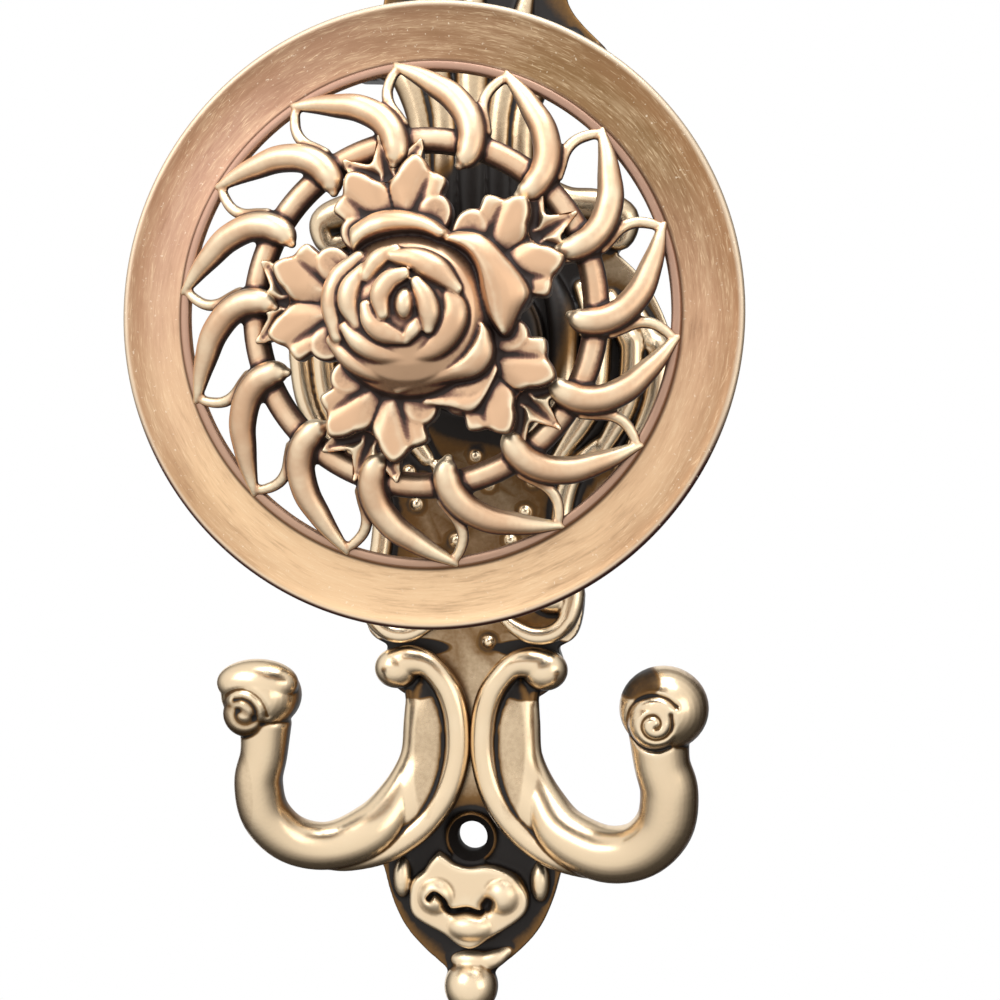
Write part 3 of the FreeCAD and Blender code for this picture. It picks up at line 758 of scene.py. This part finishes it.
def drop():
    """The scrolled drop: a soft mass with two lobes and a chin, side leaves, a collar and the ball."""
    mass = [(-6.6, -105.4), (-8.4, -107.2), (-9.6, -109.2), (-12, -111.4), (-12.6, -115.6), (-11.9, -118.4),
            (-9.4, -120.2), (-5.4, -122.2), (-2.4, -124.4), (0.8, -125), (4.4, -122.6), (8.8, -119.9),
            (11.8, -117), (12, -113.4), (9.4, -109.8), (5.9, -108.2), (3, -107.8), (-0.2, -108.2),
            (-3, -107.6), (-4.8, -106.4)]
    pieces = [blade([(x, y, 7.2) for x, y in mass], 5, 1.1), egg(-6.9, -114.2, 4, 6.2, 0.82, 0.82, 1),
              egg(6.8, -113.8, 4, 6.2, 0.82, 0.82, 1), egg(0.2, -120.4, 4, 6.2, 1.05, 0.62, 1),
              egg(0.6, -128, 4, 3, 1.7, 0.8, 1),
              rod([(1, -128.6, 4.6, 2.1), (5, -127.4, 4.8, 1.9), (7.6, -125.8, 4.4, 1)]),
              egg(0, -133.4, 4.4, 5.65)]
    return pieces + [both_sides(egg(14.4, -111.2, 4.8, 2.5, 0.8, 1.65, 1))]


def hole_cutter(y):
    """A wall hole with its countersink."""
    cutter = turned([(0, -3), (3.15, -3), (3.15, 3.6), (4.8, 5.2), (4.8, 20), (0, 20)], 64)
    cutter.location = (0, y * MM, 0)
    pick(cutter)
    settle()
    return cutter


def back_cores():
    """The shallow pockets that lighten the plate's back."""
    corners = ((-14, -47, 28, 27), (-9, 26, 18, 20), (17.5, -14, 11, 22), (-28.5, -14, 11, 22))
    return [slab([(x, y), (x + wide, y), (x + wide, y + tall), (x, y + tall)], -3, 2.2)
            for x, y, wide, tall in corners]


DROP_LINES = [([(-8.2, -114.6), (-7.2, -113.6), (-6.1, -114.1), (-5.2, -115.2), (-4.8, -116.4),
                (-3.7, -117.4), (-0.5, -117), (2.1, -117.5), (3.4, -116.4)], 0.6, 2.2),
              ([(3.4, -116.2), (4, -115.4)], 1.3, 2.4)]


def field_bumps():
    """Raised dots on the sunken field."""
    spots = [(-7.4, -25.5), (-2.6, -35.7), (7.9, -40.8), (11, -35), (12.6, -28.6), (-11.8, -33.5),
             (3.4, -29.4), (-7, -44), (2, -48.5), (-1.6, -56.5), (3.4, -62), (12.4, -45.6), (-3.4, -41),
             (5.6, -53), (-10.6, -50), (8.4, -24.4), (-13.4, -26.6), (0.6, -23.4)]
    height = sizes().slab_thickness - 0.1
    return [egg(x, y, height, 1.05 + 0.3 * math.sin(x * 3.1 + y) ** 2) for x, y in spots]


class HOLDBACK_OT_plate(bpy.types.Operator):
    """Cast the wall plate's ground, crest, scrolls, waist, field and drop in one piece"""
    bl_idname = "holdback.plate"
    bl_label = "Wall plate"

    def execute(self, context):
        pieces = plate_ground() + crest() + side_scrolls() + waist_frame() + drop() + field_bumps()
        cuts = [behind_wall()] + [hole_cutter(y) for y in SCREW_HOLES] + back_cores()
        plate = cast("plate_casting", pieces, 0.38, 8, 190000, cuts, DROP_LINES)
        finish_piece(plate, paint_of("plate_brass_finish", plate_brass), "plate_brass", "wall_plate")
        return {"FINISHED"}


# Hooks


def hook_pieces(slim):
    """Round arm, the channel beside it and the band and lobe of the lower volute, on the right."""
    arm = rod([(12.6, -70.5, 4.4, 1.8), (11.9, -76, 5, 1.9), (11.8, -82, 5.2, 2.3), (12.6, -88, 5.4, 3.2),
               (15.2, -94.4, 6.8, 4.4), (19.8, -100.4, 9.4, 5.5), (28, -103.4, 12.6, 5.7 * slim),
               (35.4, -101.8, 15.4, 5.7 * slim), (40.2, -96.4, 18, 5.8 * slim), (41.2, -89.4, 20, 5.7 * slim),
               (39.8, -83.6, 21.2, 5.5 * slim), (39.2, -77, 21.8, 6 * slim)])
    channel = rod([(9.4, -71, 4.2, 2.6), (8.8, -78, 5, 3.2), (9.2, -86, 5.5, 3.3), (11.8, -92.8, 7, 3.3),
                   (16.6, -98.4, 8.8, 2.8)], 1.72)
    band = rod([(15.4, -67, 6.6, 4), (12.4, -65.9, 7.2, 3.4), (9, -66.5, 7.5, 2.75), (6.2, -69.2, 7.4, 2.7),
                (4, -73, 7.2, 2.75), (2.8, -78.4, 7, 2.75), (2.9, -86, 7, 2.75), (5.2, -93.4, 7.2, 2.9),
                (10, -99.8, 7.8, 2.9), (16.8, -104.4, 9.4, 2.8), (24.4, -106.6, 11.4, 2.2),
                (30, -107, 13.2, 1.2)])
    lobe = egg(15.4, -67.4, 6.6, 4.7, 1, 0.9, 0.9)
    return [arm, channel, band, lobe]


def right_head():
    """A ball with a snail at its lower left."""
    return [egg(40.2, -72.7, 22.6, 8.7, 1, 0.95, 0.95), egg(*SNAIL, 26.4, 5.3, 1, 1, 0.92)]


def left_head():
    """A broad roll over a small curl, modelled on the right like the rest of the hook."""
    return [egg(40.1, -71.6, 22, 8.1, 1, 0.86, 0.95), egg(40.3, -69, 24.2, 5, 1.66, 0.96, 1),
            egg(-CURL[0], CURL[1], 24.4, 4.9, 1, 1, 0.92)]


def ring_line(x, y, radius, first_deg, last_deg, end_radius=None):
    """Points round (x, y) from one angle to another, drawing in towards end_radius."""
    made = []
    for k in range(13):
        part = k / 12
        reach = radius + ((end_radius or radius) - radius) * part
        a = math.radians(first_deg + (last_deg - first_deg) * part)
        made.append((x + reach * math.cos(a), y + reach * math.sin(a)))
    return made


RIGHT_LINES = [(ring_line(*SNAIL, 5.4, 40, 300), 0.55, 0.7),
               (ring_line(*SNAIL, 3.7, 390, -60, 0.7), 0.5, 0.6)]
LEFT_LINES = [(ring_line(*CURL, 4.9, 165, 0), 0.7, 0.45),
              (ring_line(-42.1, -74.7, 3.2, 120, -200, 1.2), 0.8, 0.5)]


class HOLDBACK_OT_hooks(bpy.types.Operator):
    """Cast the two hooks with their bands and curled heads"""
    bl_idname = "holdback.hooks"
    bl_label = "Hooks"

    def execute(self, context):
        brass = paint_of("plate_brass_finish", plate_brass)
        for name, head, lines, slim in (("hook_right", right_head, RIGHT_LINES, 1),
                                        ("hook_left", left_head, LEFT_LINES, 0.86)):
            pieces = hook_pieces(slim) + head()
            if name == "hook_left":
                pieces = [other_side(piece) for piece in pieces]
            hook = cast(name, pieces, 0.28, 6, 130000, [behind_wall()], lines)
            finish_piece(hook, brass, "plate_brass", "wall_plate")
        return {"FINISHED"}


class HOLDBACK_OT_stem(bpy.types.Operator):
    """Turn the stem from the seat on the plate to the back of the medallion"""
    bl_idname = "holdback.stem"
    bl_label = "Stem"

    def execute(self, context):
        low, high = 6.8, 58.5
        curve = [(14.2, low), (14.2, low + 1.4), (13.4, low + 2.6), (10, low + 3.5), (7.6, low + 6),
                 (6, low + 10.2), (6.9, low + 11.2), (7.6, low + 12.3), (6.9, low + 13.4), (5.6, low + 14.4),
                 (5.2, low + 20), (5.2, high - 16), (5.6, high - 12.4), (6.9, high - 11.4),
                 (7.5, high - 10.4), (6.9, high - 9.4), (6.1, high - 8.4), (6.5, high - 5), (8, high - 2.2),
                 (8.4, high - 1.2), (8.4, high)]
        profile = [(0, low)] + [tuple(p) for p in flow(curve, 4)] + [(0, high)]
        stem = turned(profile, 96)
        levels = relief(stem.data, 1)
        levels[:, 2] = 1
        store_relief(stem, levels)
        stem.name = "stem_turned"
        finish_piece(stem, paint_of("plate_brass_finish", plate_brass), "stem_brass", "stem")
        return {"FINISHED"}


# Medallion


class HOLDBACK_OT_flange(bpy.types.Operator):
    """Turn the dished flange with its rolled rim and raised lip"""
    bl_idname = "holdback.flange"
    bl_label = "Flange"

    def execute(self, context):
        rim, plane, inner = sizes().rim_radius, sizes().rim_plane, sizes().opening_radius
        front = [(inner, plane - 0.9), (inner + 0.1, plane + 0.25), (inner + 0.45, plane + 0.6),
                 (inner + 1.1, plane + 0.62), (inner + 1.6, plane + 0.45), (inner + 1.85, plane - 0.2),
                 (inner + 2.3, plane - 0.5), (inner + 5.2, plane - 0.6), (rim - 2.6, plane - 0.35),
                 (rim - 1.1, plane - 0.05), (rim - 0.35, plane - 0.25), (rim, plane - 1),
                 (rim - 0.35, plane - 1.75), (rim - 1.3, plane - 2), (inner + 4.4, plane - 2.4),
                 (inner + 0.8, plane - 1.7)]
        closed = front + front[:1]
        profile = [tuple(p) for p in flow(closed, 3)[:-1]]
        flange = turned(profile, 256)
        flange.name = "flange_brushed"
        finish_piece(flange, brushed_flange(), "medallion_brass", "medallion")
        return {"FINISHED"}


def crescent():
    """One crescent from its pointed tip on the lip to its blunt end over the inner ring."""
    plane = sizes().rim_plane
    sweep = [(43.9, 0, 0.5, 0.5), (42.9, -1.6, 0.8, 0.95), (41.2, -5.6, 1.3, 1.6), (39.5, -9.6, 1.9, 2.05),
             (37.4, -15, 2.7, 2.4), (34.4, -20.2, 3.6, 2.5), (31.2, -23.4, 4.5, 2.5), (28.2, -24.1, 5.1, 2.3),
             (26.4, -23, 5.4, 1.7), (25.6, -22.2, 5.5, 0.9)]
    return rod([(*around(r, deg, plane + rise), w) for r, deg, rise, w in sweep])


def tendril():
    """The thin loop from a crescent's tip to the back of its neighbour."""
    plane = sizes().rim_plane
    sweep = [(43, -0.4, 0.4, 0.8), (41.6, 1.1, 0.7, 0.95), (39.8, 2.4, 1.1, 1), (38, 2.8, 1.6, 1.05),
             (36.2, 2.2, 2.2, 1.05), (34.3, 0.5, 2.9, 1.05), (32.6, -1.4, 3.6, 0.9)]
    return rod([(*around(r, deg, plane + rise), w) for r, deg, rise, w in sweep])


class HOLDBACK_OT_openwork(bpy.types.Operator):
    """Cast the crescents, tendrils and inner ring"""
    bl_idname = "holdback.openwork"
    bl_label = "Openwork"

    def execute(self, context):
        count = sizes().crescents
        pieces = copies_round(crescent(), count, FIRST_CRESCENT)
        pieces += copies_round(tendril(), count, FIRST_CRESCENT)
        radius, height = sizes().ring_radius * MM, (sizes().rim_plane + 2.4) * MM
        bpy.ops.mesh.primitive_torus_add(major_segments=144, minor_segments=24, major_radius=radius,
                                         minor_radius=2.3 * MM, location=(0, 0, height))
        settle()
        pieces.append(bpy.context.object)
        openwork = cast("openwork_casting", pieces, 0.32, 4, 195000)
        brass = paint_of("medallion_brass_finish", medallion_brass)
        finish_piece(openwork, brass, "medallion_brass", "medallion")
        return {"FINISHED"}


# Grooves of one spray: side, (radius, degrees) points, half width and depth
LEAF_VEINS = [(1, ((24.2, 0), (27, 0), (29.6, 0)), 1.3, 1.1), (1, ((16.5, 0), (19, 0), (21.6, 0)), 1.4, 0.6)]
for leaf_side in (-1, 1):
    LEAF_VEINS.append((leaf_side, ((16.5, 12), (19.5, 16), (23.6, 19.6)), 1, 0.35))
    LEAF_VEINS.append((leaf_side, ((24.4, 4), (26.4, 9), (28, 12.2)), 1, 0.8))


def leaf_spray():
    """Two scalloped leaflets, two lobes and the hollow three-pointed leaflet, pointing along x."""
    top = sizes().rim_plane
    low = [(13, -9, 5.4), (22.5, -13.4, 5.8), (29.5, -14.4, 5.4), (28.2, -10, 5.8), (26.8, -5.2, 6),
           (29, -2.2, 5.8), (31.6, 0, 5.5), (29, 2.2, 5.8), (26.8, 5.2, 6), (28.2, 10, 5.8),
           (29.5, 14.4, 5.4), (22.5, 13.4, 5.8), (13, 9, 5.4)]
    web = [(11, -29, 8.7), (20.5, -25, 8.7), (23.6, -10, 8.7), (22.4, 0, 8.6), (23.6, 10, 8.7),
           (20.5, 25, 8.7), (11, 29, 8.7)]
    leaflet = [(12, -0.6, 8.8), (19, -0.6, 9), (21.8, 0.6, 9.1), (23.2, 4.6, 9.2), (25, 7.8, 9.3),
               (26.3, 12.8, 9.3), (25.2, 16.6, 9.3), (23.5, 19.6, 9.2), (23.1, 22.8, 9.2), (22.2, 27, 9.1),
               (19.4, 26, 9), (12, 20, 8.8)]
    lobe = [(10, 12, 9), (16, 12.2, 9.1), (18.2, 15.6, 9.2), (19.4, 21, 9.2), (19.6, 27.2, 9.2),
            (18.2, 32.8, 9.1), (15.6, 35, 9), (10, 30, 9)]
    pieces = [blade([around(r, a, top + h) for r, a, h in low], 3, 0.4),
              blade([around(r, a, top + h) for r, a, h in web], 3, -0.2)]
    for side in (-1, 1):
        for outline, rise in ((leaflet, 0.8), (lobe, 0.8)):
            pieces.append(blade([around(r, side * a, top + h) for r, a, h in outline], 3, rise))
    return join(pieces)


PETALS = [
    # rows of (x, y, top, half width) knots, and how much deeper than wide the petal stands
    ([(-0.7, 5, 80.4, 0.9), (-3.2, 3.9, 80.9, 1.4), (-4.7, 1.5, 80.9, 1.45), (-4.3, -1.7, 80.4, 0.9)], 1.1),
    ([(1.2, 3.7, 80.4, 0.8), (2.7, 1.1, 80.9, 1.4), (3.4, -1.6, 80.8, 1.5), (3.3, -4.2, 80, 0.8)], 1.1),
    ([(-7.4, 0, 79.4, 0.8), (-6.4, -2.7, 80, 1.4), (-4.3, -4.4, 80.1, 1.65), (-1.4, -5.5, 79.7, 1)], 1.1),
    ([(1.7, -2.2, 79.6, 0.7), (0.8, -4, 80, 1.1), (-0.7, -5.8, 79.6, 0.8)], 1.1),
    ([(-3, 8.1, 78.6, 0.9), (0.6, 7.4, 79.2, 1.75), (4.3, 5.5, 79.3, 1.9), (7.8, 2.6, 78.4, 0.8)], 1.2),
    ([(-2.6, 9.3, 78, 0.8), (-5.4, 7.7, 78.6, 1.4), (-7.6, 5, 78.2, 1.1)], 1.2),
    ([(-8, 6.2, 77.8, 0.9), (-10.1, 3.2, 78.4, 1.6), (-10.5, 0.3, 78.4, 1.6), (-9.2, -2.9, 77.8, 0.9)], 1.2),
    ([(-9.4, 8.4, 75.8, 0.9), (-12.7, 5, 76.6, 1.5), (-13.9, 0.5, 76.8, 1.55), (-12.9, -4.8, 76.2, 1)], 1.4),
    ([(-11.2, -3.4, 77.2, 0.9), (-8.7, -5.9, 78, 1.6), (-5.1, -7.5, 78.1, 1.75), (-0.2, -8.5, 77.6, 1)], 1.2),
    ([(6.2, 2.4, 78, 1.1), (7, -1.1, 78.7, 2.1), (5.8, -4.3, 78.8, 2.2), (3.6, -6.8, 78.4, 1.8),
      (0.2, -8.4, 77.6, 0.9)], 1),
    ([(-14, -5.4, 75, 0.9), (-11, -8.4, 75.8, 1.5), (-7.2, -10.4, 75.8, 1.6), (-1.9, -12.1, 75.2, 0.9)], 1.3),
]


def petal(knots, deep, wider=1.26):
    """A rolled petal edge."""
    return rod([(x, y, top - half * deep, half * deep) for x, y, top, half in knots], wider / deep)


def outer_petals():
    """The broad outer petals: the rolled top lip, the long right petal and the folded lower petal."""
    lip = petal_sheet([(-10.6, 8.8, 74.4), (-8, 11, 75.2), (-3.6, 12.2, 75.6), (1.1, 12.2, 75.6),
                       (4.4, 10.8, 75.4)],
                      [(-11.6, 13.6, 74.4), (-7, 16.2, 75.2), (-1.8, 16.4, 75.6), (3, 14.9, 75.6),
                       (6.4, 12.4, 75.4)],
                      ((0, -1.2), (0.2, 0.7), (0.5, 1), (0.8, 0.3), (1, -1)), 3.6)
    right = petal_sheet([(4.3, 10.9, 74.6), (8.3, 9, 75), (10.2, 5.9, 75.2), (10.5, 1.6, 75),
                         (12, -2.1, 74.4), (14.6, -5, 73.2)],
                        [(6.6, 12.8, 74.6), (11.4, 12.2, 75), (15.4, 8.4, 75.2), (19.6, 2.9, 74.4),
                         (18.1, -0.6, 74), (16, -4.9, 73.2)],
                        ((0, -1.2), (0.2, 1.2), (0.45, 1.3), (0.8, 0.2), (1, -0.6)), 3.4)
    lower = petal_sheet([(10.9, -1.6, 74.4), (9.8, -4.6, 75), (7.2, -8, 75.2), (3.6, -10.2, 74.8),
                         (-0.6, -12.2, 74.2), (-4.4, -13.7, 73.2)],
                        [(13, -4, 74.4), (13.6, -8.2, 75), (11.2, -11.6, 75.2), (6.2, -12.6, 74.8),
                         (1.6, -13.8, 74.2), (-3.2, -15, 73.2)],
                        ((0, -1), (0.25, 0.9), (0.55, 0.9), (0.85, 0.1), (1, -0.6)), 3.4)
    fold = petal_sheet([(13.4, -7, 72.8), (11.4, -11.2, 73.2), (6.8, -12.6, 73), (1.4, -14, 72.4)],
                       [(14.2, -10.6, 72.8), (10.2, -17.6, 73.2), (5.8, -17, 73), (0.4, -16.2, 72.4)],
                       ((0, 0), (0.5, -0.5), (0.8, 0.2), (1, -0.8)), 2.6)
    return [lip, right, lower, fold]


def rose():
    """Domed core, bud, spiral petals and the broad outer petals."""
    core = [(0, 58.5), (9.5, 58.5), (9.5, 62.5), (13, 64.1), (15, 66.8), (15, 70.2), (13.6, 73.4),
            (11.4, 75.8), (8.8, 77.2), (5.8, 78.3), (3.4, 79.2), (2, 79.4), (0, 79.4)]
    dome = turned(core, 64)
    dome.location = (-1 * MM, -1 * MM, 0)
    pick(dome)
    settle()
    bud = egg(-0.7, 0, 78.9, 1.5, 1.15, 1.8, 1.5)
    return [dome, bud] + [petal(knots, deep) for knots, deep in PETALS] + outer_petals()


class HOLDBACK_OT_rose(bpy.types.Operator):
    """Cast the rose and its five leaf sprays"""
    bl_idname = "holdback.rose"
    bl_label = "Rose and leaves"

    def execute(self, context):
        count = sizes().leaf_sprays
        veins = []
        for k in range(count):
            turn = FIRST_SPRAY - k * 360 / count
            for side, line, half, depth in LEAF_VEINS:
                points = [around(r, turn + side * a, 0)[:2] for r, a in line]
                veins.append((points, half, depth))
        pieces = copies_round(leaf_spray(), count, FIRST_SPRAY) + rose()
        flower = cast("rose_and_leaves", pieces, 0.25, 6, 195000, (), veins, sizes().rim_plane + 10.2)
        brass = paint_of("medallion_brass_finish", medallion_brass)
        finish_piece(flower, brass, "medallion_brass", "medallion")
        return {"FINISHED"}


# Stage


def soft_lamp(name, place, aim, size, radiance, colour=(1, 1, 1)):
    """A square soft box of a given brightness."""
    bpy.ops.object.light_add(type="AREA", location=place)
    lamp = bpy.context.object
    lamp.name = name
    lamp.data.shape = "SQUARE"
    lamp.data.size = size
    lamp.data.energy = radiance * math.pi * size * size
    lamp.data.color = colour
    lamp.rotation_euler = (Vector(aim) - Vector(place)).to_track_quat("-Z", "Y").to_euler()


def pale_surface(name):
    """Plain white sheet that the camera and the metal see as white."""
    bench = Bench(name)
    nodes, links = bench.tree.nodes, bench.tree.links
    rays = nodes.new("ShaderNodeLightPath")
    seen = Level(bench, rays.outputs["Is Camera Ray"]).most(Level(bench, rays.outputs["Is Glossy Ray"]))
    seen = seen.most(Level(bench, rays.outputs["Is Transmission Ray"]))
    glow = nodes.new("ShaderNodeEmission")
    glow.inputs[0].default_value = (1, 1, 1, 1)
    mix = nodes.new("ShaderNodeMixShader")
    bench.feed(mix.inputs[0], seen)
    links.new(bench.shader.outputs[0], mix.inputs[1])
    links.new(glow.outputs[0], mix.inputs[2])
    links.new(mix.outputs[0], nodes["Material Output"].inputs["Surface"])
    bench.paint(Base_Color=(0.82, 0.82, 0.82, 1), Roughness=0.9)
    return bench.material


def studio_world():
    """A soft grey room, brightest behind the camera and overhead."""
    world = bpy.data.worlds.new("studio")
    bpy.context.scene.world = world
    world.use_nodes = True
    nodes, links = world.node_tree.nodes, world.node_tree.links
    place = nodes.new("ShaderNodeTexCoord")
    dot = nodes.new("ShaderNodeVectorMath")
    dot.operation = "DOT_PRODUCT"
    dot.inputs[1].default_value = Vector((-0.15, -0.8, 0.55)).normalized()
    ramp = nodes.new("ShaderNodeValToRGB")
    for element, (at, colour) in zip([ramp.color_ramp.elements[0], ramp.color_ramp.elements[1],
                                      ramp.color_ramp.elements.new(0.6), ramp.color_ramp.elements.new(0.8)],
                                     [(0.25, (0.05, 0.045, 0.04)), (0.8, (1.0, 1.0, 1.0)),
                                      (0.45, (0.3, 0.29, 0.28)), (0.64, (0.85, 0.84, 0.83))]):
        element.position = at
        element.color = (*colour, 1)
    scale = nodes.new("ShaderNodeMapRange")
    scale.inputs[1].default_value = -1.0
    links.new(place.outputs["Generated"], dot.inputs[0])
    links.new(dot.outputs["Value"], scale.inputs[0])
    links.new(scale.outputs[0], ramp.inputs[0])
    links.new(ramp.outputs[0], nodes["Background"].inputs[0])
    nodes["Background"].inputs[1].default_value = 1.0


class HOLDBACK_OT_stage(bpy.types.Operator):
    """Set the backdrop, soft lamps and camera"""
    bl_idname = "holdback.stage"
    bl_label = "Stage"

    def execute(self, context):
        pale = pale_surface("pale_paper")
        bpy.ops.mesh.primitive_plane_add(size=0.8, location=(-0.058, 0.5, -0.034),
                                         rotation=(math.pi / 2, 0, 0))
        sheet = bpy.context.object
        sheet.name = "backdrop"
        sheet.data.materials.append(pale)
        soft_lamp("key_lamp", (-0.45, -0.6, 0.45), (0, 0, 0), 0.5, 2.6)
        soft_lamp("sky_lamp", (0.1, -0.2, 0.6), (0, -0.03, -0.05), 0.4, 5.0, (0.86, 0.93, 1.0))
        soft_lamp("fill_lamp", (0.6, -0.5, 0.1), (0, 0, 0), 0.4, 1.2, (1.0, 0.95, 0.88))
        studio_world()
        yaw, pitch, roll = math.radians(7.238), math.radians(-0.326), math.radians(0.175)
        look = Vector((-math.sin(yaw) * math.cos(pitch), math.cos(yaw) * math.cos(pitch), math.sin(pitch)))
        level = Vector((math.cos(yaw), math.sin(yaw), 0))
        up = level.cross(look)
        right = level * math.cos(roll) + up * math.sin(roll)
        bpy.ops.object.camera_add(location=(0.05061, -0.35813, -0.03052))
        camera = bpy.context.object
        camera.name = "photo_camera"
        turn = camera.rotation_euler.to_matrix()
        turn.col[0] = right
        turn.col[1] = right.cross(look)
        turn.col[2] = -look
        camera.rotation_euler = turn.to_euler()
        camera.data.sensor_width = 36.0
        camera.data.lens = 62.03
        camera.data.clip_start = 0.01
        context.scene.camera = camera
        context.scene.view_settings.view_transform = "Standard"
        return {"FINISHED"}


class HOLDBACK_PT_panel(bpy.types.Panel):
    """Sidebar panel with the sizes, the finish and the making steps"""
    bl_label = "Holdback"
    bl_idname = "HOLDBACK_PT_panel"
    bl_space_type = "VIEW_3D"
    bl_region_type = "UI"
    bl_category = "Holdback"

    def draw(self, context):
        layout = self.layout
        for group in (context.scene.holdback_sizes, context.scene.holdback_finish):
            for name in group.bl_rna.properties.keys():
                if name not in ("rna_type", "name"):
                    layout.prop(group, name)
        for step in STEPS:
            layout.operator(step.bl_idname)


STEPS = (HOLDBACK_OT_plate, HOLDBACK_OT_hooks, HOLDBACK_OT_stem, HOLDBACK_OT_flange, HOLDBACK_OT_openwork,
         HOLDBACK_OT_rose, HOLDBACK_OT_stage)
CLASSES = (HoldbackSizes, HoldbackFinish, *STEPS, HOLDBACK_PT_panel)


def register():
    for made in CLASSES:
        bpy.utils.register_class(made)
    bpy.types.Scene.holdback_sizes = PointerProperty(type=HoldbackSizes)
    bpy.types.Scene.holdback_finish = PointerProperty(type=HoldbackFinish)


def unregister():
    del bpy.types.Scene.holdback_finish
    del bpy.types.Scene.holdback_sizes
    for made in reversed(CLASSES):
        bpy.utils.unregister_class(made)


def main():
    register()
    bpy.ops.object.select_all(action="DESELECT")
    bpy.ops.holdback.plate()
    bpy.ops.holdback.hooks()
    bpy.ops.holdback.stem()
    bpy.ops.holdback.flange()
    bpy.ops.holdback.openwork()
    bpy.ops.holdback.rose()
    bpy.ops.holdback.stage()


if __name__ == "__main__":
    main()
